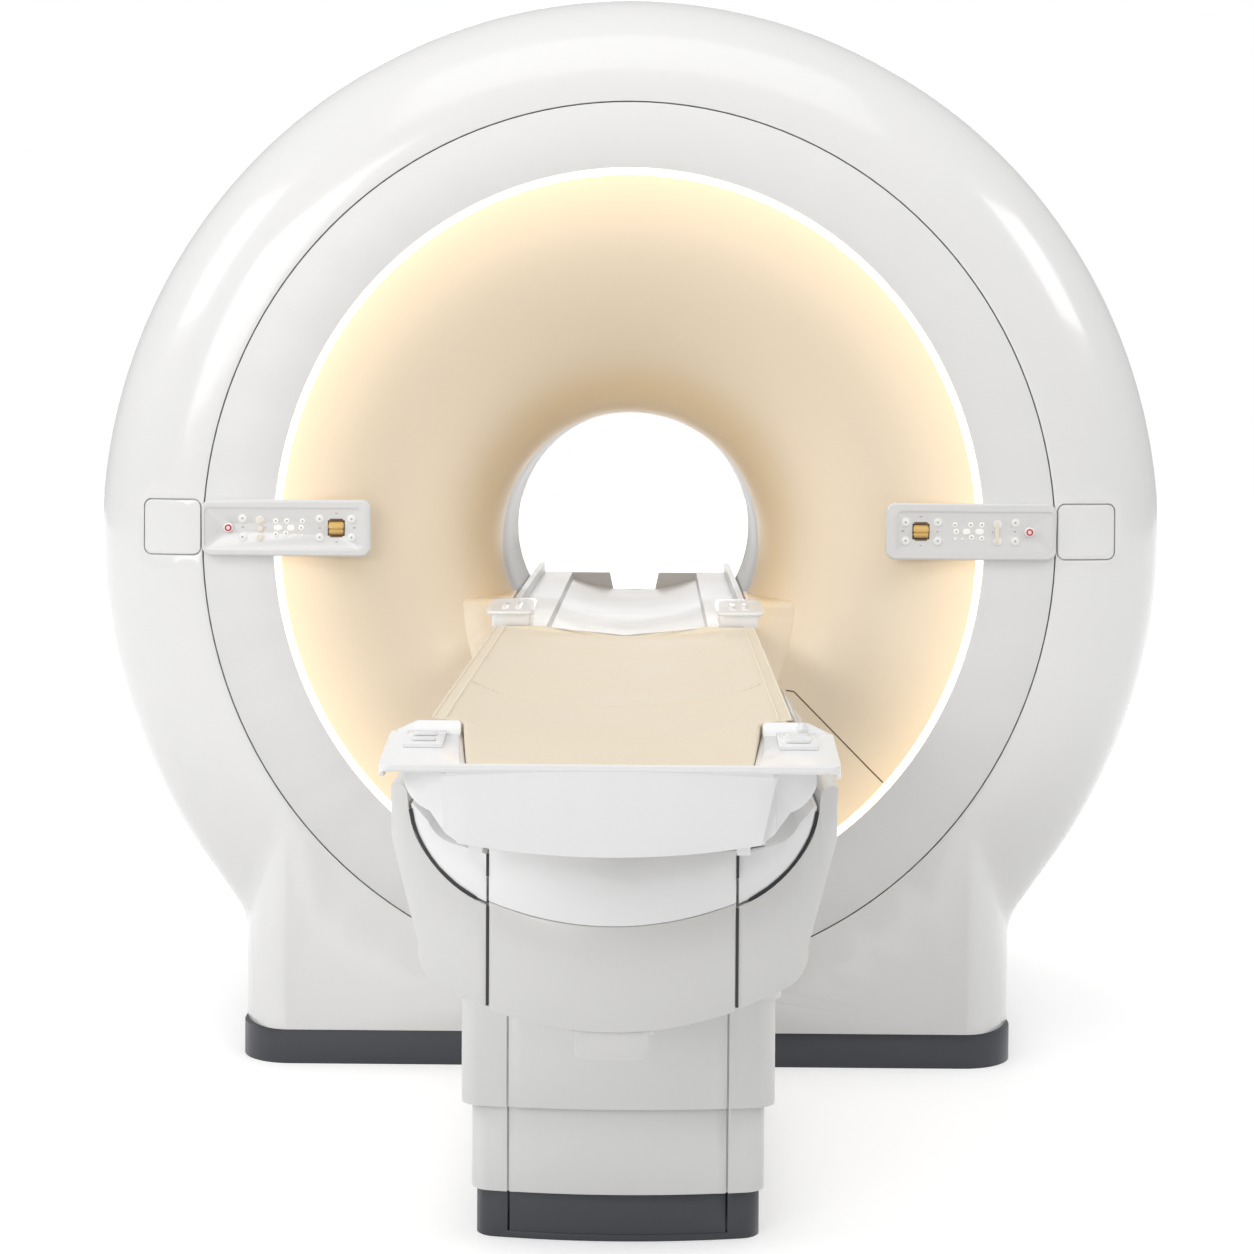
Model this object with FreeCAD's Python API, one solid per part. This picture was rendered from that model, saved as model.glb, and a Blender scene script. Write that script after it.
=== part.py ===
"""MRI scanner: gantry with its magnet, and a patient table on a telescopic column.

Millimetres, +Z up. The origin is on the floor under the isocentre, +X is to the right of someone who faces
the patient end, and +Y runs into the bore. The front face of the gantry is at negative Y.
"""

import FreeCAD
import Part
import math
import os

Vector = FreeCAD.Vector

# ---------------------------------------------------------------- driving dimensions: gantry
BORE_R = 300.0              # patient bore, radius
BORE_LENGTH = 670.0         # straight part of the bore
ISO_Z = 1122.0              # height of the bore's axis
GANTRY_LENGTH = 1570.0      # front face to rear face
PLINTH_H = 75.0             # dark plinth under the covers

COVER_HALF_W = 1180.0       # outer cover at its widest
COVER_TOP_Z = 2338.0        # crown of the outer cover
COVER_MID_Z = 1140.0        # height at which the outer cover is widest
FOOT_HALF_W = 852.0         # straight-sided foot of the covers
FOOT_TANGENT_DEG = 36.0     # where the flank leaves the oval, below the widest height
FOOT_FILLET_IN, FOOT_FILLET_OUT = 80.0, 120.0   # concave fillet, at the face and at the flank
FOOT_CORNER = 115.0         # how far the foot draws in towards the face
ROUND_DEPTH = 200.0         # depth of the rounding between face and flank
COVER_WALL = 8.0
FRONT_SPLIT_Y = -300.0      # joint between the front shell and the middle wrap

SEAM_A, SEAM_B, SEAM_Z = 924.0, 952.0, 1143.0       # dark seam oval: half width, half height, centre
SEAM_GAP = 3.0
FACE_LAND = 8.0             # flat strip of the cover outside the seam
RING_A, RING_B, RING_Z = 768.0, 800.0, 1151.0       # light ring, outside
RING_WIDTH = 14.5
FUNNEL_WALL = 8.0
FUNNEL_LIP = 2.0            # flat edge of the funnel's mouth
REAR_MOUTH_R = 640.0

LINER_WALL = 6.0
BODY_COIL_WALL = 65.0
GRADIENT_R_OUT, GRADIENT_LENGTH = 520.0, 1080.0
VESSEL_R_OUT, VESSEL_LENGTH = 940.0, 1360.0
VESSEL_WALL = 15.0
COLD_HEAD_X, COLD_HEAD_Y, COLD_HEAD_R = 260.0, 180.0, 120.0

PANEL_IN_X, PANEL_OUT_X = 556.0, 922.0      # control panels, nearest and furthest from the bore
PANEL_Z, PANEL_H = 1171.0, 123.0
PANEL_T = 14.0
INSERT_OUT_X = 1056.0
INSERT_GAP = 3.0

# ---------------------------------------------------------------- driving dimensions: bridge in the bore
BRIDGE_FRONT_Y, BRIDGE_REAR_Y = -1095.0, 785.0
BRIDGE_DISH_HALF_W, BRIDGE_DISH_Z, BRIDGE_DISH_EDGE_Z = 169.0, 922.0, 952.0
BRIDGE_LEDGE_Z = 970.0
BRIDGE_WALL = 8.0
RAIL_IN_X, RAIL_OUT_X, RAIL_TOP_Z = 249.0, 263.0, 996.0
RAIL_FRONT_Y = -600.0
END_WALL_T, END_WALL_TOP_Z = 20.0, 969.0
NOTCH_HALF_W_TOP, NOTCH_HALF_W_BOTTOM = 68.0, 58.0
SHOULDER_TOP_Z = 1004.0     # beige fairings beside the table
SHOULDER_FRONT_Y = -607.0
SHOULDER_LEAN = 0.328       # how far the fairing's front comes forward for each millimetre down

# ---------------------------------------------------------------- driving dimensions: table
TABLE_HALF_W, TABLE_EDGE_Z, TABLE_DISH_Z = 245.0, 1005.0, 970.0
TABLE_DISH_EDGE_Z, TABLE_LIP = 999.0, 10.0
TABLE_T = 8.0
TABLE_HEAD_Y = -1110.0
TABLE_TRAVEL = 1030.0

MATTRESS_T, MATTRESS_HALF_W = 20.0, TABLE_HALF_W + 9.0
MATTRESS_HEAD_Y, MATTRESS_SEAM_Y, MATTRESS_SEAM_R = -1250.0, -2387.0, 262.0

BOW_FRONT_Y, BOW_REAR_Y = -2880.0, -2700.0
BOW_HALF_W, BOW_LIP_Z, BOW_EAR_Z = 309.0, 966.0, 990.0
BOW_SKIN = 6.0
BOW_BOTTOM_Z, BOW_BOTTOM_SIDE_Z = 843.5, 859.0
TRAY_Z = 954.0              # floor between the ears, under the mattress
MOUTH_FRONT_W, MOUTH_REAR_W = TABLE_HALF_W - 52.0, TABLE_HALF_W - 36.0     # half width between the ears

HOUSING_FRONT_Y, HOUSING_REAR_Y = -2615.0, -1150.0
HOUSING_FRONT_R = 450.0     # plan radius of the housing's front
HOUSING_HALF_W, HOUSING_REAR_HALF_W = 334.0, 310.0
HOUSING_SKIN = 5.0
CENTRE_HALF_W, PANEL_SPLIT = 180.0, 4.0     # fascia and apron, and the dark gap beside them
DECK_Z = 791.0
FRAME_BOTTOM_Z, FRAME_TOP_Z = 655.0, 785.0
LIFT_TRAVEL = 400.0

COLUMN_FRONT_Y, COLUMN_REAR_Y = -1958.0, -1010.0
COLUMN_STEP_Y = 20.0        # each lower stage is this much shorter at the front and at the rear
COLUMN_BULGE, COLUMN_CORNER = 28.0, 38.0
UPPER_HALF_W, MIDDLE_HALF_W, BASE_HALF_W = 271.0, 254.0, 246.5
UPPER_BOTTOM_Z, UPPER_TOP_Z = 240.0, 437.0
MIDDLE_BOTTOM_Z, MIDDLE_TOP_Z = 87.0, 282.0
BASE_TOP_Z = 86.0
SLEEVE_WALL, SLEEVE_PLATE = 6.0, 6.0
FRONT_PANEL_HALF_W, FRONT_PANEL_GAP = 187.0, 3.5
UPPER_SHARE, MIDDLE_SHARE = 0.56, 0.205     # share of the lift's travel that each sleeve makes

# ---------------------------------------------------------------- clearances
SEAT = 0.3                  # between pieces that seat on each other
FIT = 0.5                   # round pieces in one another
SLIDE = 0.5                 # running gap under what slides

FACE_Y = -GANTRY_LENGTH / 2
RIM_Y = -BORE_LENGTH / 2


# ---------------------------------------------------------------- helpers
def save(name, shape):
    """Write one node, and print what it holds."""
    shape = shape.removeSplitter()
    solids = shape.Solids
    if not shape.isValid() or not solids:
        raise ValueError(name + " is not a sound solid")
    body = solids[0] if len(solids) == 1 else Part.makeCompound(solids)
    body.exportStep("parts/" + name + ".step")
    print(name, len(solids), round(shape.Volume / 1e6, 3), "dm3")


def box(x0, x1, y0, y1, z0, z1):
    """Box between two corners."""
    return Part.makeBox(x1 - x0, y1 - y0, z1 - z0, Vector(x0, y0, z0))


def both_sides(x0, x1, y0, y1, z0, z1):
    """A box and its mirror image across the table's middle plane."""
    right = box(x0, x1, y0, y1, z0, z1)
    return [right, mirrored(right)]


def mirrored(shape):
    """The same shape on the other side of the middle plane."""
    return shape.mirror(Vector(0, 0, 0), Vector(1, 0, 0))


def reversed_end(shape):
    """The same shape at the rear of the gantry."""
    return shape.mirror(Vector(0, 0, 0), Vector(0, 1, 0))


def tube(r_in, r_out, y0, y1, z=ISO_Z):
    """Ring-shaped cylinder along the bore."""
    outer = Part.makeCylinder(r_out, y1 - y0, Vector(0, y0, z), Vector(0, 1, 0))
    return outer.cut(Part.makeCylinder(r_in, y1 - y0 + 2, Vector(0, y0 - 1, z), Vector(0, 1, 0)))


def upright(r, x, y, z0, z1):
    """Upright cylinder."""
    return Part.makeCylinder(r, z1 - z0, Vector(x, y, z0))


def fused(shapes):
    """All the shapes as one."""
    return shapes[0].multiFuse(shapes[1:]) if len(shapes) > 1 else shapes[0]


def oval_arc(a, b, zc, y, t0, t1):
    """Exact arc of an oval in the plane at y, from angle t0 to t1 in degrees, counted from +X towards +Z."""
    half = math.radians(t1 - t0) / 2
    middle = math.radians(t0 + t1) / 2
    ends = [math.radians(t0), math.radians(t1)]
    corner = Vector(a * math.cos(middle) / math.cos(half), y, zc + b * math.sin(middle) / math.cos(half))
    first, last = [Vector(a * math.cos(t), y, zc + b * math.sin(t)) for t in ends]
    curve = Part.BezierCurve()
    curve.setPoles([first, corner, last])
    curve.setWeight(2, math.cos(half))
    return curve.toShape()


def oval(a, b, zc, y):
    """Closed oval in the plane at y."""
    return Part.Wire([oval_arc(a, b, zc, y, t, t + 90) for t in (0, 90, 180, 270)])


def prism(wire, depth):
    """Solid between a flat wire in a plane at y and its copy further along Y."""
    return Part.Face(wire).extrude(Vector(0, depth, 0))


def oval_disc(a, b, zc, y0, y1):
    """Oval plate."""
    return prism(oval(a, b, zc, y0), y1 - y0)


def ring_wire(points, y):
    """Closed wire in the plane at y from (x, z) points and (arc middle, arc end) pairs."""
    edges, here = [], None
    first = None
    for p in points:
        if isinstance(p[0], tuple):
            middle, end = [Vector(q[0], y, q[1]) for q in p]
            edges.append(Part.Arc(here, middle, end).toShape())
        else:
            end = Vector(p[0], y, p[1])
            if here is not None:
                edges.append(Part.makeLine(here, end))
        if first is None:
            first = end
        here = end
    if (here - first).Length > 1e-6:
        edges.append(Part.makeLine(here, first))
    return Part.Wire(edges)


def front_profile(points, y0, y1):
    """Prism along Y of an outline given as (x, z) points and (arc middle, arc end) pairs."""
    return prism(ring_wire(points, y0), y1 - y0)


def side_profile(points, x0, x1):
    """Prism along X of an outline given as (y, z) points."""
    wire = Part.makePolygon([Vector(x0, y, z) for y, z in points + points[:1]])
    return Part.Face(wire).extrude(Vector(x1 - x0, 0, 0))


def arc_depth(radius, x):
    """How far an arc of this radius falls back at a distance x from its middle."""
    return radius - math.sqrt(radius * radius - x * x)


def dish_radius(half_width, rise):
    """Radius of the arc that rises this much at the half width."""
    return (half_width * half_width + rise * rise) / (2 * rise)


# ---------------------------------------------------------------- gantry covers
def cover_outline(share, inset, y, floor):
    """Outline of the covers in the plane at y. The share runs from 0 at the face to 1 at the flank."""
    a = SEAM_A + FACE_LAND + (COVER_HALF_W - SEAM_A - FACE_LAND) * share - inset * share
    top = SEAM_Z + SEAM_B + FACE_LAND
    zc = SEAM_Z + (COVER_MID_Z - SEAM_Z) * share
    b = top - SEAM_Z + (COVER_TOP_Z - COVER_MID_Z - top + SEAM_Z) * share - inset * share
    foot = FOOT_HALF_W - FOOT_CORNER * (1 - share) - inset * share
    fillet = FOOT_FILLET_IN + (FOOT_FILLET_OUT - FOOT_FILLET_IN) * share + inset * share
    t = math.radians(FOOT_TANGENT_DEG)
    leave = Vector(a * math.cos(t), y, zc - b * math.sin(t))
    along = Vector(-a * math.sin(t), 0, -b * math.cos(t)).normalize()
    corner = leave + along * ((leave.x - foot) / -along.x)
    turn = math.atan2(-along.x, -along.z)
    reach = fillet * math.tan(turn / 2)
    start = corner - along * reach
    end = corner + Vector(0, 0, -reach)
    middle = corner + (start - corner + end - corner).normalize() * (
        fillet / math.cos(turn / 2) - fillet)
    right = [
        Part.makeLine(Vector(foot, y, floor), end),
        Part.Arc(end, middle, start).toShape(),
        Part.makeLine(start, leave),
        oval_arc(a, b, zc, y, -FOOT_TANGENT_DEG, 0),
    ]
    left = [mirrored(e) for e in reversed(right)]
    crown = [oval_arc(a, b, zc, y, 0, 90), oval_arc(a, b, zc, y, 90, 180)]
    bottom = [Part.makeLine(Vector(-foot, y, floor), Vector(foot, y, floor))]
    return Part.Wire(right + crown + left + bottom)


def cover_body(inset, y_end, steps, floor):
    """Front half of the gantry's outer form, from the face to y_end, drawn in by the inset."""
    depth = ROUND_DEPTH - inset
    back = FACE_Y + ROUND_DEPTH
    wires = []
    for n in range(steps + 1):
        t = math.radians(90.0 * n / steps)
        wires.append(cover_outline(math.sin(t), inset, back - depth * math.cos(t), floor))
    nose = Part.makeLoft(wires, True, False)
    trunk = prism(cover_outline(1, inset, back, floor), y_end - back)
    return nose.fuse(trunk)


def insert_prism(grow, y0, y1):
    """Rounded block in the shape of the cover beside a control panel, on the +X side."""
    body = box(PANEL_OUT_X + INSERT_GAP - grow, INSERT_OUT_X + grow, y0, y1,
               PANEL_Z - PANEL_H / 2 - grow, PANEL_Z + PANEL_H / 2 + grow)
    edges = [e for e in body.Edges if abs(e.Vertexes[0].Y - e.Vertexes[1].Y) > 1]
    return body.makeFillet(18 + grow, edges)


def gantry_shells():
    """Front, middle and rear covers, and the inserts that fill the front cover's two pockets."""
    floor = PLINTH_H + SEAT
    outer = cover_body(0, FRONT_SPLIT_Y, 6, floor)
    hollow = cover_body(COVER_WALL, FRONT_SPLIT_Y, 4, floor - 60)
    shell = outer.cut(hollow)
    mouth = oval_disc(SEAM_A, SEAM_B, SEAM_Z, FACE_Y - 5, FACE_Y + COVER_WALL + 5)
    front = shell.cut(mouth)
    pocket = insert_prism(0, FACE_Y - 5, FACE_Y + 120)
    front = front.cut(pocket).cut(mirrored(pocket))
    save("gantry_front_cover", front)

    plug = outer.common(insert_prism(-INSERT_GAP, FACE_Y - 5, FACE_Y + 120))
    seat = cover_body(COVER_WALL + SEAT, FRONT_SPLIT_Y, 4, floor - 60)
    back = cover_body(COVER_WALL + SEAT + 5, FRONT_SPLIT_Y, 4, floor - 60)
    flange = seat.common(insert_prism(10, FACE_Y - 5, FACE_Y + 120).cut(
        box(0, PANEL_OUT_X + INSERT_GAP + 2, FACE_Y - 10, FACE_Y + 130, 0, COVER_TOP_Z)))
    insert = plug.fuse(flange).cut(back)
    save("panel_insert_right", insert)
    save("panel_insert_left", mirrored(insert))

    rear_mouth = Part.makeCylinder(REAR_MOUTH_R + FIT, 60, Vector(0, -FACE_Y - 30, ISO_Z), Vector(0, 1, 0))
    save("gantry_rear_cover", reversed_end(shell).cut(rear_mouth))

    y0 = FRONT_SPLIT_Y + SEAT
    wrap = prism(cover_outline(1, 0, y0, floor), -2 * y0)
    inside = prism(cover_outline(1, COVER_WALL, y0, floor - 60), -2 * y0)
    save("gantry_middle_cover", wrap.cut(inside))


# ---------------------------------------------------------------- gantry front: rings, frame, funnel
def face_rings():
    """Satin ring inside the seam, the light ring, and the inner frame that carries them."""
    back = FACE_Y + COVER_WALL
    ring_in_a, ring_in_b = RING_A - RING_WIDTH, RING_B - RING_WIDTH
    plate = oval_disc(SEAM_A - SEAM_GAP, SEAM_B - SEAM_GAP, SEAM_Z, FACE_Y, back)
    save("front_face_ring", plate.cut(oval_disc(RING_A + FIT, RING_B + FIT, RING_Z, FACE_Y - 1, back + 1)))
    light = oval_disc(RING_A, RING_B, RING_Z, FACE_Y, back)
    save("light_ring", light.cut(oval_disc(ring_in_a, ring_in_b, RING_Z, FACE_Y - 1, back + 1)))

    y0, y1 = back + SEAT, back + SEAT + 15
    lap = 6.5
    frame = oval_disc(SEAM_A + lap, SEAM_B + lap, SEAM_Z, y0, y1)
    posts = both_sides(320, 380, y0, y1, PLINTH_H + SEAT, 320)
    frame = fused([frame] + posts)
    notch = insert_prism(12, y0 - 1, y1 + 1)
    frame = frame.cut(notch).cut(mirrored(notch))
    save("front_frame", frame.cut(oval_disc(ring_in_a + 4, ring_in_b + 4, RING_Z, y0 - 1, y1 + 1)))


def funnel_section(t, wall):
    """One oval of the funnel, at an angle of 0 at the mouth to 90 at the bore, this far into the wall."""
    mouth_a = RING_A - RING_WIDTH - FIT - FUNNEL_LIP
    mouth_b = RING_B - RING_WIDTH - FIT - FUNNEL_LIP
    s, c = math.sin(math.radians(t)), math.cos(math.radians(t))
    a = mouth_a - (mouth_a - BORE_R - wall) * s
    b = mouth_b - (mouth_b - BORE_R - wall) * s
    zc = RING_Z + (ISO_Z - RING_Z) * s
    return oval(a, b, zc, RIM_Y - (RIM_Y - FACE_Y - wall) * c)


def funnel_plug(wall, steps):
    """Solid that fills the funnel, grown by the wall."""
    return Part.makeLoft([funnel_section(90.0 * n / steps, wall) for n in range(steps + 1)], True, False)


def shoulders():
    """Fairings at both sides of the bridge, joined by the bed under it."""
    foot_z = 560.0
    front_low = SHOULDER_FRONT_Y - SHOULDER_LEAN * (SHOULDER_TOP_Z - foot_z)
    profile = [(RIM_Y - 1, SHOULDER_TOP_Z), (SHOULDER_FRONT_Y, SHOULDER_TOP_Z),
               (front_low, foot_z), (RIM_Y - 1, foot_z)]
    side = side_profile(profile, RAIL_OUT_X + 2, 620)
    top_front = [e for e in side.Edges
                 if all(abs(v.Z - SHOULDER_TOP_Z) < 0.1 and abs(v.Y - SHOULDER_FRONT_Y) < 0.1
                        for v in e.Vertexes)]
    side = side.makeFillet(22, top_front)
    bed_z = ISO_Z - BORE_R + 0.2
    bed = side_profile([(RIM_Y - 1, bed_z), (SHOULDER_FRONT_Y - 30, bed_z),
                        (front_low, foot_z), (RIM_Y - 1, foot_z)], -RAIL_OUT_X - 3, RAIL_OUT_X + 3)
    return fused([side, mirrored(side), bed])


def funnels():
    """Front funnel, the fairings seated in it, and the plain rear funnel."""
    mouth_a, mouth_b = RING_A - RING_WIDTH - FIT, RING_B - RING_WIDTH - FIT
    edges = [oval(mouth_a, mouth_b, RING_Z, FACE_Y), oval(mouth_a, mouth_b, RING_Z, FACE_Y + FUNNEL_WALL)]
    faces = Part.makeLoft(edges, False, True).Faces
    faces += Part.Face(funnel_section(90, FUNNEL_WALL)).cut(Part.Face(funnel_section(90, 0))).Faces
    for wall, edge in zip((0, FUNNEL_WALL), edges):
        faces += Part.makeLoft([funnel_section(90.0 * n / 8, wall) for n in range(9)], False, False).Faces
        faces += Part.Face(edge).cut(Part.Face(funnel_section(0, wall))).Faces
    skin = Part.Shell(faces)
    skin.sewShape()
    save("funnel_front", Part.Solid(skin))
    save("bed_fairing", shoulders().common(funnel_plug(-SEAT, 8)))

    inner = rear_curve(0)
    outer = rear_curve(FUNNEL_WALL)
    lines = [Part.makeLine(inner.Vertexes[-1].Point, outer.Vertexes[-1].Point),
             Part.makeLine(outer.Vertexes[0].Point, inner.Vertexes[0].Point)]
    face = Part.Face(Part.Wire(Part.sortEdges([inner, outer] + lines)[0]))
    save("funnel_rear", face.revolve(Vector(0, 0, ISO_Z), Vector(0, 1, 0), 360))


def rear_curve(wall):
    """Quarter curve of the rear funnel in the upper half plane, from the bore to the mouth."""
    start = Vector(0, -RIM_Y, ISO_Z + BORE_R + wall)
    end = Vector(0, -FACE_Y - wall, ISO_Z + REAR_MOUTH_R)
    curve = Part.BezierCurve()
    curve.setPoles([start, Vector(0, end.y, start.z), end])
    curve.setWeight(2, math.sqrt(0.5))
    return curve.toShape()


# ---------------------------------------------------------------- gantry inside
def magnet_group():
    """Bore liner, coils, vessel with its feet and cold head, and the plinth."""
    liner_out = BORE_R + LINER_WALL
    coil_out = liner_out + FIT + BODY_COIL_WALL
    half_bore = -RIM_Y - SEAT
    save("bore_liner", tube(BORE_R, liner_out, -half_bore, half_bore))
    save("body_coil", tube(liner_out + FIT, coil_out, -half_bore + 5, half_bore - 5))
    save("gradient_coil", tube(coil_out + FIT, GRADIENT_R_OUT, -GRADIENT_LENGTH / 2, GRADIENT_LENGTH / 2))
    half = VESSEL_LENGTH / 2
    vessel = tube(GRADIENT_R_OUT + FIT, VESSEL_R_OUT - 25, -half, half)
    vessel = fused([vessel, tube(VESSEL_R_OUT - 60, VESSEL_R_OUT, -half + 60, half - 60)])
    inside = tube(GRADIENT_R_OUT + FIT + VESSEL_WALL, VESSEL_R_OUT - 40, -half + VESSEL_WALL, half - VESSEL_WALL)
    port = upright(COLD_HEAD_R - 45, COLD_HEAD_X, COLD_HEAD_Y, ISO_Z + 700, ISO_Z + VESSEL_R_OUT + 10)
    save("magnet_vessel", vessel.cut(inside).cut(port))

    clear = Part.makeCylinder(VESSEL_R_OUT + SEAT, 2 * half, Vector(0, -half, ISO_Z), Vector(0, 1, 0))
    feet = []
    for x in (-500, 500):
        for y in (-430, 430):
            block = box(x - 90, x + 90, y - 80, y + 80, PLINTH_H + SEAT, ISO_Z - 700)
            feet.append(block.cut(clear))
    save("magnet_feet", Part.makeCompound(feet))

    x, y = COLD_HEAD_X, COLD_HEAD_Y
    seat_z = ISO_Z + math.sqrt((VESSEL_R_OUT + SEAT) ** 2 - (x - COLD_HEAD_R) ** 2)
    neck = upright(COLD_HEAD_R, x, y, seat_z - 60, seat_z + 60)
    cold = fused([neck, upright(85, x, y, seat_z + 60, seat_z + 130),
                  box(x - 70, x + 110, y - 60, y + 60, seat_z + 130, seat_z + 205)])
    save("cold_head", cold.cut(clear))


def plinth_outline(half_w, y_end, corner, z0, height):
    """Rounded rectangle block on the gantry's footprint."""
    body = box(-half_w, half_w, -y_end, y_end, z0, z0 + height)
    return body.makeFillet(corner, [e for e in body.Edges if abs(e.Vertexes[0].Z - e.Vertexes[-1].Z) > 1])


def gantry_plinth():
    """Dark plinth: floor plate, skirt, and two bearers under the magnet's feet."""
    draw_in = 4.0
    half_w, y_end = FOOT_HALF_W - draw_in, -FACE_Y - draw_in
    plinth = plinth_outline(half_w, y_end, FOOT_CORNER, 0, PLINTH_H)
    hollow = plinth_outline(half_w - 60, y_end - 60, FOOT_CORNER - 60, 15, PLINTH_H)
    bearers = [box(x - 110, x + 110, -y_end + 50, y_end - 50, 10, PLINTH_H) for x in (-500, 500)]
    save("gantry_plinth", fused([plinth.cut(hollow)] + bearers))


# ---------------------------------------------------------------- bridge
def bridge():
    """Fixed bridge that carries the table top through the bore, with a rail along each side."""
    r = BORE_R - 2 * SEAT
    low = ISO_Z - r
    side_x = math.sqrt(r * r - (ISO_Z - BRIDGE_LEDGE_Z) ** 2)
    arc_x = r * math.sin(math.radians(35))
    arc_z = ISO_Z - r * math.cos(math.radians(35))
    w, step = BRIDGE_DISH_HALF_W, 3.0
    tread = [(side_x, BRIDGE_LEDGE_Z), (w + step, BRIDGE_LEDGE_Z), (w, BRIDGE_DISH_EDGE_Z)]
    points = tread + [((0, BRIDGE_DISH_Z), (-w, BRIDGE_DISH_EDGE_Z))]
    points += [(-x, z) for x, z in reversed(tread[:-1])]
    points += [((-arc_x, arc_z), (0, low)), ((arc_x, arc_z), (side_x, BRIDGE_LEDGE_Z))]
    body = prism(ring_wire(points, BRIDGE_FRONT_Y), BRIDGE_REAR_Y - BRIDGE_FRONT_Y)
    front_trim = both_sides(RAIL_IN_X - 2, RAIL_OUT_X + 1, BRIDGE_FRONT_Y - 1, RAIL_FRONT_Y,
                            low, RAIL_TOP_Z + 1)
    side_z = ISO_Z - math.sqrt(r * r - RAIL_OUT_X ** 2)
    rail = front_profile([(RAIL_IN_X, BRIDGE_LEDGE_Z + SEAT), (side_x - SEAT, BRIDGE_LEDGE_Z + SEAT),
                          (RAIL_OUT_X, side_z + SEAT), (RAIL_OUT_X, RAIL_TOP_Z), (RAIL_IN_X, RAIL_TOP_Z)],
                         RAIL_FRONT_Y, BRIDGE_REAR_Y)

    t = BRIDGE_WALL
    cell_r = r - t
    cell_x = RAIL_IN_X - 23
    cell_z = ISO_Z - math.sqrt(cell_r ** 2 - cell_x ** 2)
    c_arc_x = cell_r * math.sin(math.radians(30))
    c_arc_z = ISO_Z - cell_r * math.cos(math.radians(30))
    roof = [(cell_x, cell_z), (cell_x, BRIDGE_LEDGE_Z - t), (w + step + 2, BRIDGE_LEDGE_Z - t),
            (w, BRIDGE_DISH_EDGE_Z - t - 1)]
    cell = roof + [((0, BRIDGE_DISH_Z - t), (-w, BRIDGE_DISH_EDGE_Z - t - 1))]
    cell += [(-x, z) for x, z in reversed(roof[:-1])]
    cell += [((-c_arc_x, c_arc_z), (0, ISO_Z - cell_r)), ((c_arc_x, c_arc_z), (cell_x, cell_z))]
    hollow = prism(ring_wire(cell, BRIDGE_FRONT_Y - 1), BRIDGE_REAR_Y - BRIDGE_FRONT_Y - 20)
    webs = both_sides(70, 78, BRIDGE_FRONT_Y - 2, BRIDGE_REAR_Y, low - 10, BRIDGE_LEDGE_Z)
    hollow = hollow.cut(fused(webs))

    wall = box(-RAIL_IN_X, RAIL_IN_X, BRIDGE_REAR_Y - END_WALL_T, BRIDGE_REAR_Y,
               BRIDGE_DISH_Z - 4, END_WALL_TOP_Z)
    notch = front_profile([(NOTCH_HALF_W_BOTTOM, BRIDGE_DISH_Z + 1), (NOTCH_HALF_W_TOP, END_WALL_TOP_Z + 1),
                           (-NOTCH_HALF_W_TOP, END_WALL_TOP_Z + 1),
                           (-NOTCH_HALF_W_BOTTOM, BRIDGE_DISH_Z + 1)],
                          BRIDGE_REAR_Y - END_WALL_T - 1, BRIDGE_REAR_Y + 1)
    body = body.cut(fused(front_trim)).cut(hollow)
    save("bore_bridge", Part.makeCompound([body.fuse(wall).cut(notch), rail, mirrored(rail)]))


# ---------------------------------------------------------------- control panels
KEY_R, KEY_PROUD, KEY_SIDES = 9.5, 1.5, 12
KEY_PLACES = [(-834, 20), (-834, -20), (-598, 20), (-598, -20), (-667, 20), (-667, -20), (-796, 16), (-796, -20)]
STOP_X, STOP_R, STOP_TRAVEL = 864.0, 11.0, 3.0
WHEEL_X, WHEEL_R, WHEEL_W = 631.0, 15.0, 34.0
WHEEL_WAIST_R, WHEEL_RIBS = 10.0, 24
WHEEL_Y = FACE_Y - 5.0
PANEL_FRONT_Y = FACE_Y - SEAT - PANEL_T
RECESS = 2.5


def even_polygon(centre, r, count, u, v):
    """Even polygon round a centre, in the plane of two unit vectors."""
    turns = [2 * math.pi * (n + 0.5) / count for n in range(count)]
    points = [centre + u * (r * math.cos(a)) + v * (r * math.sin(a)) for a in turns]
    return Part.makePolygon(points + points[:1])


def panel_key(x, z, floor_y):
    """Flat key of the panel, standing on the recess's floor."""
    wire = even_polygon(Vector(x, floor_y - KEY_PROUD, z), KEY_R, KEY_SIDES, Vector(1, 0, 0), Vector(0, 0, 1))
    return Part.Face(wire).extrude(Vector(0, KEY_PROUD, 0))


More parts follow.
